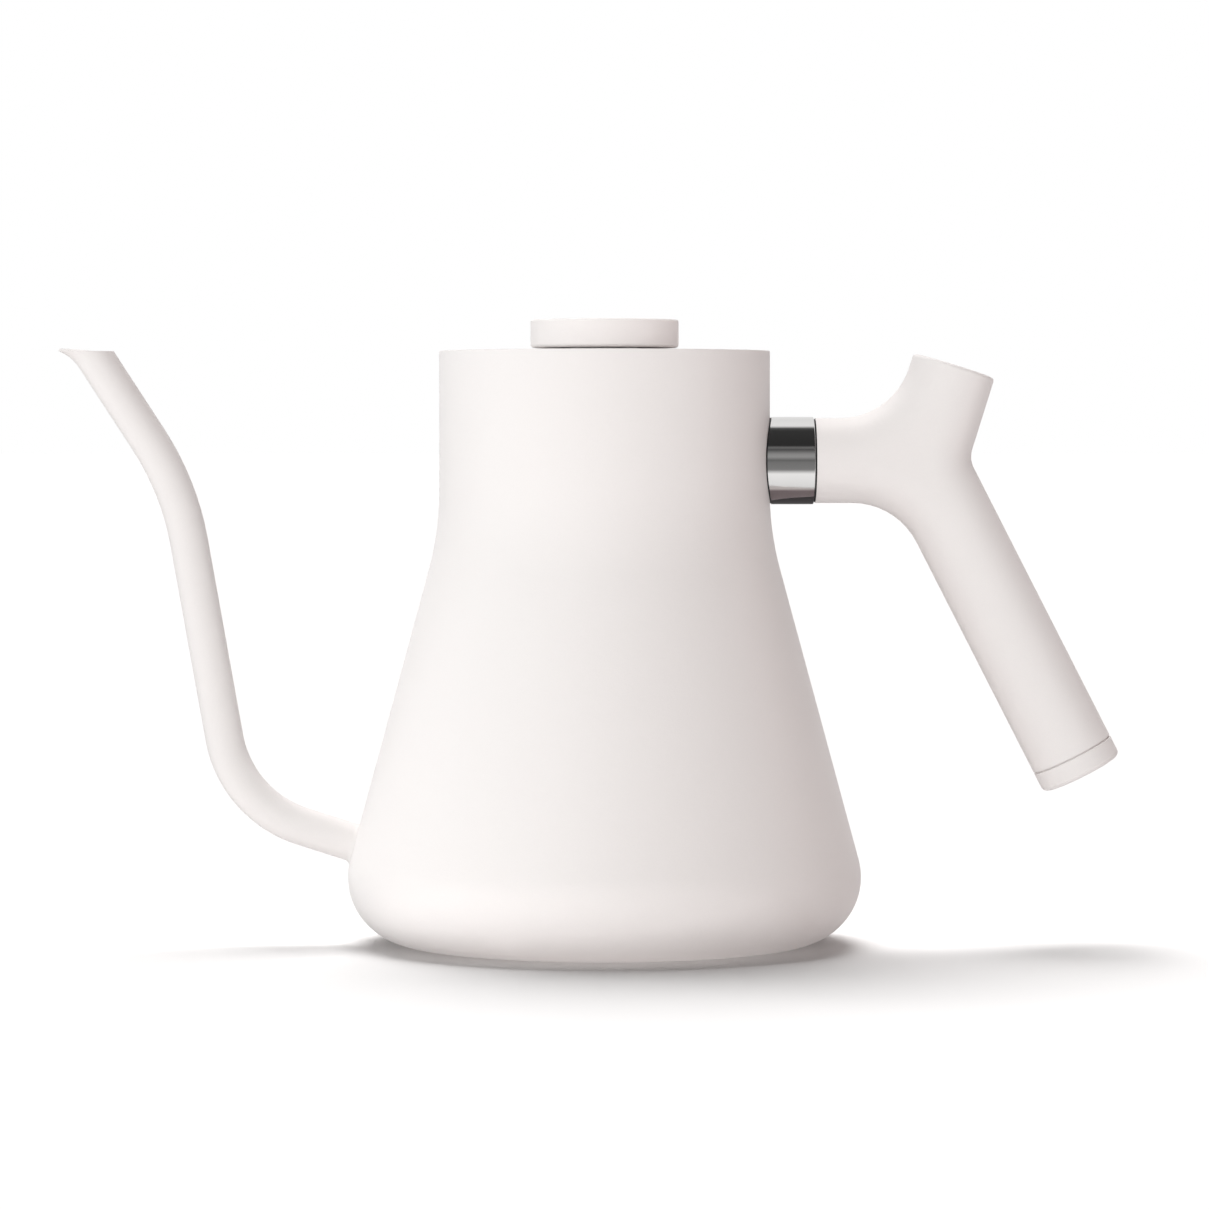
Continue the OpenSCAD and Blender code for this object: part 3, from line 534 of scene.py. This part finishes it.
def spout_root(body, spout):
    """Where the spout's centre line meets the body's side wall, and its direction there."""
    slope = math.tan(body.wall_lean)
    wall_at_corner = body.foot_radius + body.corner_radius / math.cos(body.wall_lean)
    corner = Vector(spout.low_corner)
    gap = -corner.x - wall_at_corner + (corner.z - body.corner_radius) * slope
    length = gap / (math.cos(spout.root_rise) + math.sin(spout.root_rise) * slope)
    heading = Vector((-math.cos(spout.root_rise), 0.0, math.sin(spout.root_rise)))
    return corner - length * heading, heading


class KETTLE_OT_finishes(bpy.types.Operator):
    """Make the finishes and give every CAD piece its own"""

    bl_idname = "kettle.finishes"
    bl_label = "Finishes"

    def execute(self, context):
        settings = context.scene.kettle_finish
        assign(["body_shell", "spout_tube", "lid_top", "knob_housing"],
               powder_coat("powder_coat", settings))
        assign(["handle_shell", "thumb_plug", "grip_end_cap"], powder_coat("handle_coat", settings))
        collar = metal("polished_collar", (0.82, 0.81, 0.80), 0.09, 300.0, (1, 12, 12), 0.000004)
        # The collar's lowest strip gets a painted reflection of the shade between arm and body
        self.shade_underside(collar, context.scene.kettle_handle)
        assign(["handle_collar"], collar)
        assign(["thermometer_case"],
               metal("polished_case", (0.84, 0.84, 0.84), 0.12, 900.0, (1, 1, 6), 0.000005))
        assign(["neck_ring", "seal_carrier", "base_floor", "base_capsule", "handle_tenon", "screw_washer",
                "knob_spacer", "probe_tube", "lid_nut", "pointer_spindle"],
               metal("brushed_stainless", (0.80, 0.79, 0.775), 0.3, 420.0, (1, 1, 10), 0.00002))
        assign(["counterweight", "handle_screw"],
               metal("blackened_steel", (0.30, 0.30, 0.31), 0.35, 800.0, (1, 1, 4), 0.00002))
        assign(["heat_disc"], metal("aluminium", (0.80, 0.81, 0.82), 0.4, 600.0, (1, 1, 8), 0.00002))
        assign(["bimetal_coil"], metal("bimetal_strip", (0.60, 0.46, 0.28), 0.3, 900.0, (1, 1, 6), 0.00001))
        assign(["collar_body_gasket", "collar_handle_gasket", "dial_spacer"],
               rubber("matt_rubber", (0.025, 0.025, 0.027)))
        assign(["lid_seal", "lid_washer"], rubber("grey_silicone", (0.42, 0.42, 0.43)))
        assign(["dial_plate"], rubber("dial_enamel", (0.80, 0.80, 0.78)))
        assign(["dial_window"], glass())
        assign(["pointer"], rubber("needle_paint", (0.66, 0.09, 0.02)))
        rubber("dial_ink", (0.02, 0.02, 0.022))
        return {"FINISHED"}

    def shade_underside(self, material, handle):
        """Paint a reflection into the lowest strip of the collar: a dark colour for the shade between arm and
        body that the steel would mirror.
        """
        tree = material.node_tree
        shader = next(made for made in tree.nodes if made.type == "BSDF_PRINCIPLED")
        steel = shader.inputs["Base Color"].links[0].from_socket
        height = node(tree, "ShaderNodeSeparateXYZ", {"Vector": object_place(tree)}).outputs["Z"]
        low = handle.arm_height - PAINTED_REFLECTION_HEIGHT * handle.collar_radius
        strip = node(tree, "ShaderNodeMapRange",
                     {"Value": height, "From Min": low - PAINTED_REFLECTION_EDGE, "From Max": low + PAINTED_REFLECTION_EDGE})
        # Painted reflection: below this height the steel's colour gives way to the dark painted shade
        shaded = mix_colour(tree, strip.outputs["Result"], PAINTED_REFLECTION_COLOUR, steel)
        tree.links.new(shaded, shader.inputs["Base Color"])


class KETTLE_OT_body(bpy.types.Operator):
    """Model the body: one skin from the foot ring to the rim, thickened inwards"""

    bl_idname = "kettle.body"
    bl_label = "Body"

    def execute(self, context):
        body = context.scene.kettle_body
        spout = context.scene.kettle_spout
        low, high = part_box("body_shell")
        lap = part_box("base_capsule")[1].x + FIT
        lean_out = body.wall_lean
        neck = body.neck_radius
        # Height at which the side wall's line would reach the neck, and the tangent length of the blend
        wall_foot = body.foot_radius + body.corner_radius / math.cos(lean_out)
        meet = body.corner_radius + (wall_foot - neck) / math.tan(lean_out)
        blend = body.shoulder_radius * math.tan(lean_out / 2)
        degrees = math.degrees(lean_out)
        skin = [(lap, low.z)]
        skin += arc((body.foot_radius, body.corner_radius), body.corner_radius, -90, degrees, 24)
        skin += arc((neck + body.shoulder_radius, meet + blend), body.shoulder_radius, 180 + degrees, 180, 16)
        skin += [(neck, high.z)]
        piece = turned("kettle_body", skin, BODY_SIDES, closed=False)
        thicken(piece, body.sheet)
        edit(piece)
        pick(piece, edge=lambda a, b: min(a.z, b.z) > high.z - TOLERANCE)
        bpy.ops.mesh.bevel(offset=body.edge_radius, segments=3, affect="EDGES")
        leave_edit()
        wall_place, heading = spout_root(body, spout)
        cut(piece, [(wall_place, heading, spout.radius - spout.sheet, 8 * body.sheet)])
        smooth(piece)
        finish(piece, "kettle", ["body_shell"],
               ["powder_coat", "brushed_stainless"])
        return {"FINISHED"}


class KETTLE_OT_spout(bpy.types.Operator):
    """Model the spout: a ring extruded and spun along its centre line, flared at the lip and cut level"""

    bl_idname = "kettle.spout"
    bl_label = "Spout"

    def execute(self, context):
        spout = context.scene.kettle_spout
        body = context.scene.kettle_body
        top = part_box("spout_tube")[1].z
        wall_place, heading = spout_root(body, spout)
        low_corner, high_corner = Vector(spout.low_corner), Vector(spout.high_corner)
        run = (high_corner - low_corner).normalized()
        last = Vector((-math.sin(spout.mouth_lean), 0.0, math.cos(spout.mouth_lean)))
        low_turn, high_turn = heading.angle(run), run.angle(last)
        low_tangent = spout.low_bend * math.tan(low_turn / 2)
        high_tangent = spout.high_bend * math.tan(high_turn / 2)
        start = wall_place - heading * body.sheet * ROOT_DEPTH
        deselect()
        turn = heading.to_track_quat("Z", "Y").to_euler()
        bpy.ops.mesh.primitive_circle_add(
            vertices=TUBE_SIDES, radius=spout.radius, location=start, rotation=turn)
        piece = context.object
        piece.name = piece.data.name = "kettle_spout"
        apply_place(piece)
        edit(piece)
        bpy.ops.mesh.select_all(action="SELECT")
        self.go(low_corner - low_tangent * heading - start)
        self.bend(low_corner - low_tangent * heading, heading, run, spout.low_bend, low_turn)
        self.go(high_corner - high_tangent * run - low_corner - low_tangent * run)
        self.bend(high_corner - high_tangent * run, run, last, spout.high_bend, high_turn)
        mouth = high_corner + last * (top - high_corner.z) / last.z
        flare_start = mouth - spout.lip_start * last
        self.go(flare_start - high_corner - high_tangent * last)
        self.flare(flare_start, last, spout)
        leave_edit()
        face_out(piece)
        self.cut_mouth(piece, top - spout.sheet / 8)
        thicken(piece, spout.sheet)
        apply_modifier(piece, "BEVEL", width=spout.sheet / 4, segments=3, limit_method="ANGLE",
                       angle_limit=math.radians(60.0))
        smooth(piece, 40.0)
        weld = self.weld(wall_place, heading, spout)
        activate(piece)
        weld.select_set(True)
        bpy.ops.object.join()
        finish(piece, "kettle", ["spout_tube"],
               ["powder_coat", "brushed_stainless"])
        return {"FINISHED"}

    def go(self, way):
        """Extrude the selected ring straight on, in short steps."""
        steps = math.ceil(way.length / STRIDE)
        for _ in range(steps):
            bpy.ops.mesh.extrude_edges_move(TRANSFORM_OT_translate={"value": way / steps})

    def bend(self, start, before, after, radius, turn):
        """Spin the selected ring from one heading to the next."""
        axis = before.cross(after).normalized()
        centre = start + radius * axis.cross(before)
        steps = max(2, math.ceil(math.degrees(turn) / BEND_STEP))
        bpy.ops.mesh.spin(steps=steps, angle=-turn, center=centre, axis=axis)

    def flare(self, start, heading, spout):
        """Open the last stretch out, along an arc that curls away."""
        curl = spout.lip_curl
        length = 0.8 * curl         # short of the whole curl, and longer than the mouth needs
        before = spout.radius
        for step in range(1, FLARE_STEPS + 1):
            along = length * step / FLARE_STEPS
            radius = spout.radius + curl - math.sqrt(curl ** 2 - along ** 2)
            self.go(heading * length / FLARE_STEPS)
            growth = radius / before
            bpy.ops.transform.resize(value=(growth, growth, growth), center_override=start + heading * along)
            before = radius

    def cut_mouth(self, piece, level):
        """Cut the flared skin level, and merge the points that the cut leaves close together."""
        edit(piece)
        bpy.ops.mesh.select_all(action="SELECT")
        bpy.ops.mesh.bisect(plane_co=(0.0, 0.0, level), plane_no=(0.0, 0.0, 1.0), clear_outer=True,
                            threshold=TOLERANCE / 10)
        pick(piece, edge=lambda a, b: min(a.z, b.z) > level - TOLERANCE)
        bpy.ops.mesh.remove_doubles(threshold=MOUTH_MERGE)
        leave_edit()

    def weld(self, place, heading, spout):
        """The weld's fillet round the root: a ring with a hollow side."""
        fillet = spout.weld_radius
        sink = fillet / 3
        inner = spout.radius - spout.sheet / 2
        hollow = arc((spout.radius + fillet, fillet - sink), fillet, 270, 180, 10)
        ring = turned("spout_weld", [(inner, -sink)] + hollow + [(inner, fillet - sink)], TUBE_SIDES)
        ring.rotation_euler = heading.to_track_quat("Z", "Y").to_euler()
        ring.location = place
        apply_place(ring)
        return smooth(ring, 40.0)


class KETTLE_OT_handle(bpy.types.Operator):
    """Refine the forked handle's moulding, and turn its end cap and thumb plug"""

    bl_idname = "kettle.handle"
    bl_label = "Handle"

    def execute(self, context):
        handle = context.scene.kettle_handle
        moulding = copied("handle_moulding", "handle_shell")
        smooth(moulding)
        finish(moulding, "kettle", ["handle_shell"], ["handle_coat"])
        plug = self.plug(handle)
        lean(plug, Vector((handle.rest_x, 0.0, handle.arm_height)), handle.rest_lean)
        smooth(plug, 35.0)
        finish(plug, "kettle", ["thumb_plug"], ["handle_coat"])
        cap = self.cap(handle)
        lean(cap, Vector((handle.grip_x, 0.0, handle.arm_height)), math.pi - handle.grip_lean)
        smooth(cap, 35.0)
        finish(cap, "kettle", ["grip_end_cap"], ["handle_coat"])
        return {"FINISHED"}

    def plug(self, handle):
        """The plug in the thumb rest's end, drawn along the rest from the arm's centre line."""
        end, start = handle.rest_length, handle.rest_length - handle.plug_length
        outer, edge = handle.plug_radius, handle.plug_edge
        profile = [(0.0, start), (outer - edge, start), (outer, start + edge)]
        profile += arc((outer - edge, end - edge), edge, 0, 90, 6)
        return turned("thumb_rest_plug", profile + [(0.0, end)], HANDLE_SIDES)

    def cap(self, handle):
        """The end cap, drawn along the grip from the arm's centre line."""
        end, start = handle.grip_length, handle.grip_length - handle.cap_length
        outer, edge = handle.radius, handle.cap_edge
        inner = outer - handle.seam
        seam_end = start + handle.seam
        profile = [(0.0, start), (inner, start), (inner, seam_end), (outer - CAP_CHAMFER, seam_end),
                   (outer, seam_end + CAP_CHAMFER)]
        profile += arc((outer - edge, end - edge), edge, 0, 90, 12)
        return turned("grip_cap", profile + [(0.0, end)], HANDLE_SIDES)


class KETTLE_OT_collar(bpy.types.Operator):
    """Model the polished collar between the neck and the handle"""

    bl_idname = "kettle.collar"
    bl_label = "Collar"

    def execute(self, context):
        handle = context.scene.kettle_handle
        body = context.scene.kettle_body
        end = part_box("handle_collar")[1].x
        outer, edge = handle.collar_radius, handle.collar_edge
        inner = outer - handle.collar_wall
        start = body.neck_radius / 2        # inside the neck, where the saddle cut takes it off
        profile = [(inner, start), (outer, start), (outer, end - edge)]
        profile += arc((outer - edge, end - edge), edge, 0, 90, 4)[1:]
        profile += [(inner, end)]
        piece = turned("handle_fixing_collar", profile, CASE_SIDES)
        lean(piece, Vector((0.0, 0.0, handle.arm_height)), math.pi / 2)
        neck = body.neck_radius + handle.gasket
        cut(piece, [(Vector((0.0, 0.0, handle.arm_height)), (0.0, 0.0, 1.0), neck, 4 * outer)])
        smooth(piece, 35.0)
        finish(piece, "kettle", ["handle_collar"], ["polished_collar"])
        return {"FINISHED"}


class KETTLE_OT_lid(bpy.types.Operator):
    """Model the lid, the knob and the thermometer's case"""

    bl_idname = "kettle.lid"
    bl_label = "Lid and knob"

    def execute(self, context):
        lid = context.scene.kettle_lid
        sheet = context.scene.kettle_body.sheet
        finish(self.lid(lid, sheet), "lid", ["lid_top"], ["powder_coat"])
        finish(self.knob(lid), "lid", ["knob_housing"], ["powder_coat"])
        finish(self.case(lid), "lid", ["thermometer_case"], ["polished_case"])
        return {"FINISHED"}

    def lid(self, lid, sheet):
        """The lid's disc: a flat top, a rounded edge and a turned-down rim, with its vents cut."""
        low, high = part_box("lid_top")
        edge = lid.edge_radius
        hole = lid.stem_radius + FIT
        profile = [(hole, high.z), (high.x - 4 * edge, high.z)]
        profile += arc((high.x - edge, high.z - edge), edge, 90, 0, 6)
        profile += [(high.x, low.z), (high.x - sheet, low.z), (high.x - sheet, high.z - sheet),
                    (hole, high.z - sheet)]
        piece = turned("lid_disc", profile, LID_SIDES)
        angles = [FIRST_VENT + 2 * math.pi * index / lid.vents for index in range(lid.vents)]
        cut(piece, [((lid.vent_ring * math.cos(a), lid.vent_ring * math.sin(a), high.z), (0.0, 0.0, 1.0),
                     lid.vent_radius, 4 * sheet) for a in angles])
        return smooth(piece)

    def knob(self, lid):
        """The flat knob, with the pocket for the thermometer in its top."""
        low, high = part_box("knob_housing")
        under, over, outer = lid.knob_low_edge, lid.knob_top_edge, high.x
        pocket, floor = outer - lid.knob_rim, low.z + lid.knob_floor
        lip, hole = over / 3, lid.stem_radius + FIT
        profile = [(hole, low.z)]
        profile += arc((outer - under, low.z + under), under, -90, 0, 10)
        profile += arc((outer - over, high.z - over), over, 0, 90, 10)
        profile += arc((pocket + lip, high.z - lip), lip, 90, 180, 5)
        profile += [(pocket, floor), (hole, floor)]
        return smooth(turned("lid_knob", profile, LID_SIDES))

    def case(self, lid):
        """The thermometer's case: a cup on its stem, with a rolled edge and a ledge for the dial plate."""
        low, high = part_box("thermometer_case")
        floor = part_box("knob_housing")[0].z + lid.knob_floor
        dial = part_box("dial_plate")[0].z
        outer, top = high.x, high.z
        inner, lip = outer - lid.case_wall, outer - lid.bezel_width
        roll = lid.bezel_sheet / 2
        profile = [(0.0, low.z), (lid.stem_radius, low.z), (lid.stem_radius, floor), (outer, floor)]
        profile += arc((outer - 2 * roll, top - 2 * roll), 2 * roll, 0, 90, 6)
        profile += arc((lip + roll, top - roll), roll, 90, 270, 8)
        ledge = inner - DIAL_SEAT
        profile += [(inner, top - 2 * roll), (inner, dial), (ledge, dial)]
        profile += [(ledge, floor + lid.case_wall), (0.0, floor + lid.case_wall)]
        return smooth(turned("thermometer_shell", profile, CASE_SIDES), 35.0)


class KETTLE_OT_fittings(bpy.types.Operator):
    """Refine the turned fittings: merged copies of the frame's solids with broken edges and smooth shading"""

    bl_idname = "kettle.fittings"
    bl_label = "Fittings"

    def execute(self, context):
        broken = context.scene.kettle_lid.broken_edge
        for source, name, body, slot, edge in (
                ("neck_ring", "rolled_neck_ring", "kettle", "brushed_steel", broken),
                ("base_floor", "kettle_floor", "kettle", "brushed_steel", broken),
                ("base_capsule", "foot_capsule", "kettle", "brushed_steel", broken),
                ("collar_body_gasket", "neck_gasket", "kettle", "black_rubber", 0.0),
                ("collar_handle_gasket", "arm_gasket", "kettle", "black_rubber", 0.0),
                ("seal_carrier", "seal_holder", "lid", "brushed_steel", broken),
                ("lid_seal", "lid_sealing_ring", "lid", "silicone", broken),
                ("lid_washer", "stem_washer", "lid", "silicone", broken),
                ("lid_nut", "stem_nut", "lid", "brushed_steel", broken),
                ("probe_tube", "probe", "lid", "brushed_steel", broken),
                ("dial_window", "window_lens", "lid", "window", broken),
                ("pointer", "needle", "pointer_body", "pointer_paint", 0.0)):
            finishes = [made.material.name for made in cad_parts[source].material_slots]
            piece = copied(name, source)
            if edge:
                apply_modifier(piece, "BEVEL", width=edge, segments=2, limit_method="ANGLE",
                               angle_limit=math.radians(40.0))
            smooth(piece)
            finish(piece, body, [source], finishes)
        # Daylight reaches the dial through the glass
        bpy.data.objects["window_lens"].visible_shadow = False
        return {"FINISHED"}


class KETTLE_OT_dial(bpy.types.Operator):
    """Print the dial: a ring of ticks and its numbers"""

    bl_idname = "kettle.dial"
    bl_label = "Dial marks"

    def execute(self, context):
        dial = context.scene.kettle_dial
        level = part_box("dial_plate")[1].z
        marks = []
        numbers = (dial.highest - dial.lowest) // dial.number_step
        ticks = numbers * dial.ticks_per_number
        for index in range(ticks + 1):
            turn = dial.start - dial.sweep * index / ticks
            half = index % (dial.ticks_per_number // 2) == 0
            kind = "long" if index % dial.ticks_per_number == 0 else "middle" if half else "short"
            longer, wider = TICKS[kind]
            marks.append(self.tick(dial, turn, dial.tick_length * longer, dial.tick_width * wider, level))
        for index in range(numbers + 1):
            turn = dial.start - dial.sweep * index / numbers
            place = (dial.number_radius * math.cos(turn), dial.number_radius * math.sin(turn), level)
            value = dial.lowest + dial.number_step * index
            marks.append(self.type_mark(dial, str(value), place, dial.number_height))
        place = (dial.number_radius * UNIT_PLACE, 0.0, level)
        marks.append(self.type_mark(dial, "\u00b0C", place, dial.number_height * UNIT_HEIGHT))
        deselect()
        for mark in marks:
            mark.select_set(True)
        context.view_layer.objects.active = marks[0]
        bpy.ops.object.join()
        piece = context.object
        piece.name = piece.data.name = "dial_print"
        finish(piece, "lid", [], ["dial_ink"])
        return {"FINISHED"}

    def tick(self, dial, turn, length, width, level):
        """A printed bar at its place on the tick ring, with a border inset in its top."""
        deselect()
        centre = dial.ring_radius - length / 2
        place = (centre * math.cos(turn), centre * math.sin(turn), level + dial.ink / 2)
        bpy.ops.mesh.primitive_cube_add(size=1.0, location=place, rotation=(0.0, 0.0, turn))
        piece = bpy.context.object
        piece.scale = (length, width, dial.ink)
        apply_place(piece)
        edit(piece)
        pick(piece, face=lambda centre, normal: normal.z > 0.9)
        bpy.ops.mesh.inset(thickness=width / 8, depth=0.0)
        leave_edit()
        return piece

    def type_mark(self, dial, word, place, height):
        """A printed word. It stands upright for someone on the handle's side."""
        deselect()
        bpy.ops.object.text_add(location=place, rotation=(0.0, 0.0, math.pi / 2))
        piece = bpy.context.object
        piece.data.body = word
        piece.data.align_x = "CENTER"
        piece.data.align_y = "CENTER"
        piece.data.size = height
        piece.data.offset = dial.number_weight
        piece.data.extrude = dial.ink / 2
        piece.location.z += dial.ink / 2
        bpy.ops.object.convert(target="MESH")
        apply_place(piece)
        edit(piece)
        merge(TOLERANCE)
        leave_edit()
        return piece


class KETTLE_OT_stage(bpy.types.Operator):
    """Set up the floor, the light and the camera"""

    bl_idname = "kettle.stage"
    bl_label = "Stage"

    def execute(self, context):
        studio = context.scene.kettle_studio
        floor = self.make_floor(studio)
        self.make_world(context.scene, studio)
        self.make_lights(context, studio, floor)
        self.make_camera(context.scene, studio)
        context.scene.view_settings.view_transform = "Standard"
        return {"FINISHED"}

    def make_floor(self, studio):
        """White paper under the kettle and far beyond it."""
        bpy.ops.mesh.primitive_plane_add(size=PAPER_SIZE, location=(0.0, 0.0, 0.0))
        floor = bpy.context.object
        floor.name = "studio_floor"
        material, tree, shader = new_material("studio_paper")
        fibre = noise(tree, object_place(tree), 900.0, 3.0)
        feed(tree, shader, {
            "Base Color": mix_colour(tree, fibre, rgba(studio.floor_colour, 0.99), rgba(studio.floor_colour)),
            "Roughness": 0.9,
            "Specular IOR Level": 0.0})
        floor.data.materials.append(material)
        floor.visible_glossy = False
        floor.visible_shadow = False        # light that paper would bounce up reaches the lower corner
        return floor

    def make_world(self, scene, studio):
        """White for the camera, bands of light and dark for mirrors, and a weak even light for the rest."""
        world = bpy.data.worlds.new("studio")
        scene.world = world
        world.use_nodes = True
        tree = world.node_tree
        tree.nodes.clear()
        ray = node(tree, "ShaderNodeLightPath")
        direction = node(tree, "ShaderNodeTexCoord").outputs["Generated"]
        parts = node(tree, "ShaderNodeSeparateXYZ", {"Vector": direction})
        front = node(tree, "ShaderNodeMath", {0: parts.outputs["Y"], 1: -1.0}, operation="MULTIPLY")
        turn = node(tree, "ShaderNodeMath", {0: parts.outputs["Z"], 1: front.outputs[0]}, operation="ARCTAN2")
        share = node(tree, "ShaderNodeMapRange",
                     {"Value": turn.outputs[0], "From Min": -math.pi, "From Max": math.pi})
        ramp = node(tree, "ShaderNodeValToRGB", {"Fac": share.outputs["Result"]})
        elements = ramp.color_ramp.elements
        while len(elements) < len(MIRRORED):
            elements.new(0.5)
        for element, (degrees, level) in zip(elements, MIRRORED):
            element.position = (degrees + 180) / 360
            element.color = (level, level, level, 1.0)
        glossy = node(tree, "ShaderNodeBackground", {"Color": ramp.outputs["Color"], "Strength": 1.0})
        even = node(tree, "ShaderNodeBackground", {"Color": rgba(FILL_COLOUR), "Strength": studio.fill})
        white = node(tree, "ShaderNodeBackground", {"Color": (1.0, 1.0, 1.0, 1.0), "Strength": 1.0})
        lit = node(tree, "ShaderNodeMixShader",
                   {0: ray.outputs["Is Glossy Ray"], 1: even.outputs[0], 2: glossy.outputs[0]})
        seen = node(tree, "ShaderNodeMixShader",
                    {0: ray.outputs["Is Camera Ray"], 1: lit.outputs[0], 2: white.outputs[0]})
        node(tree, "ShaderNodeOutputWorld", {"Surface": seen.outputs[0]})

    def make_lights(self, context, studio, floor):
        """The lamps: strength, turn, rise and width in degrees, colour, and what each is kept off."""
        arms = [bpy.data.objects[name] for name in
                ("kettle_spout", "handle_moulding", "thumb_rest_plug", "grip_cap")]
        pieces = [made for made in context.scene.objects if made.type == "MESH" and made != floor]
        others = [made for made in pieces if made.name != "lid_knob"]
        front, rear = studio.front_light, studio.rear_light
        side, bounce = studio.spout_light / 2, studio.bounce
        self.sun("front_light", front, -24.0, 33.0, 50.0, DAYLIGHT, [floor])
        self.sun("low_light", 0.36 * bounce, -18.0, -22.0, 60.0, WARM, [floor])
        self.strip("body_low_light", 0.128 * bounce, WARM, [floor] + arms)
        self.sun("spout_side_light", side, -90.0, 10.0, 45.0, COOL, [floor])
        self.sun("body_side_light", side, -90.0, 10.0, 45.0, COOL, [floor] + arms)
        self.sun("handle_side_light", studio.handle_light, 80.0, 15.0, 60.0, BLUSH, [floor])
        self.sun("knob_light", 0.35 * front, 25.0, 8.0, 90.0, PLAIN, [floor] + others)
        self.sun("rear_light", 0.69 * rear, -173.0, 58.0, 42.0, PLAIN, [floor])
        self.sun("paper_light", rear, -173.0, 61.0, 42.0, PLAIN, pieces)

    def sun(self, name, energy, turn, rise, width, colour, flagged):
        """A distant soft light. Turn is from the front towards the handle, width the angle it fills."""
        turn, rise = math.radians(turn), math.radians(rise)
        place = Vector((math.sin(turn) * math.cos(rise), -math.cos(turn) * math.cos(rise), math.sin(rise)))
        lamp = self.lamp("SUN", name, energy, place, Vector(), colour, flagged)
        lamp.data.angle = math.radians(width)

    def strip(self, name, energy, colour, flagged):
        """A long lamp below the paper, which turns its light up to the body's lower corner."""
        lamp = self.lamp("AREA", name, energy, Vector(STRIP_PLACE), Vector(STRIP_AIM), colour, flagged)
        lamp.data.shape = "RECTANGLE"
        lamp.data.size, lamp.data.size_y = STRIP_SIZE
        lamp.visible_camera = False

    def lamp(self, kind, name, energy, place, aim, colour, flagged):
        """One lamp. It is kept off the flagged objects, as a studio's black flags do."""
        bpy.ops.object.light_add(type=kind, location=place)
        lamp = bpy.context.object
        lamp.name = name
        lamp.data.energy = energy
        lamp.data.color = colour
        lamp.visible_glossy = False
        lamp.visible_transmission = False
        lamp.rotation_euler = (place - aim).to_track_quat("Z", "Y").to_euler()
        flags = bpy.data.collections.new(name + "_flags")
        for dark in flagged:
            flags.objects.link(dark)
        for entry in flags.collection_objects:
            entry.light_linking.link_state = "EXCLUDE"
        lamp.light_linking.receiver_collection = flags
        return lamp

    def make_camera(self, scene, studio):
        """The camera, level with the kettle's neck."""
        turn = studio.camera_turn
        place = Vector((studio.camera_distance * math.sin(turn), -studio.camera_distance * math.cos(turn),
                        studio.camera_height))
        bpy.ops.object.camera_add(location=place)
        camera = bpy.context.object
        camera.data.sensor_width = 36.0
        camera.data.lens = studio.lens
        camera.data.clip_start = 0.05
        camera.data.clip_end = 100.0
        aim = Vector((0.0, 0.0, studio.camera_aim))
        camera.rotation_euler = (aim - place).to_track_quat("-Z", "Y").to_euler()
        scene.camera = camera


class KETTLE_PT_panel(bpy.types.Panel):
    """Lists the steps of the kettle"""

    bl_idname = "KETTLE_PT_panel"
    bl_label = "Gooseneck kettle"
    bl_space_type = "VIEW_3D"
    bl_region_type = "UI"
    bl_category = "Kettle"

    def draw(self, context):
        for operator in OPERATORS:
            self.layout.operator(operator.bl_idname)


OPERATORS = (KETTLE_OT_finishes, KETTLE_OT_body, KETTLE_OT_spout, KETTLE_OT_handle, KETTLE_OT_collar,
             KETTLE_OT_lid, KETTLE_OT_fittings, KETTLE_OT_dial, KETTLE_OT_stage)
GROUPS = {
    "kettle_body": KETTLE_PG_body,
    "kettle_spout": KETTLE_PG_spout,
    "kettle_handle": KETTLE_PG_handle,
    "kettle_lid": KETTLE_PG_lid,
    "kettle_dial": KETTLE_PG_dial,
    "kettle_finish": KETTLE_PG_finish,
    "kettle_studio": KETTLE_PG_studio,
}
CLASSES = (*GROUPS.values(), *OPERATORS, KETTLE_PT_panel)


def register():
    for cls in CLASSES:
        bpy.utils.register_class(cls)
    for name, group in GROUPS.items():
        setattr(bpy.types.Scene, name, PointerProperty(type=group))


def unregister():
    for name in GROUPS:
        delattr(bpy.types.Scene, name)
    for cls in reversed(CLASSES):
        bpy.utils.unregister_class(cls)


def main():
    register()
    bpy.ops.kettle.finishes()
    bpy.ops.kettle.body()
    bpy.ops.kettle.spout()
    bpy.ops.kettle.handle()
    bpy.ops.kettle.collar()
    bpy.ops.kettle.lid()
    bpy.ops.kettle.fittings()
    bpy.ops.kettle.dial()
    bpy.ops.kettle.stage()


if __name__ == "__main__":
    main()
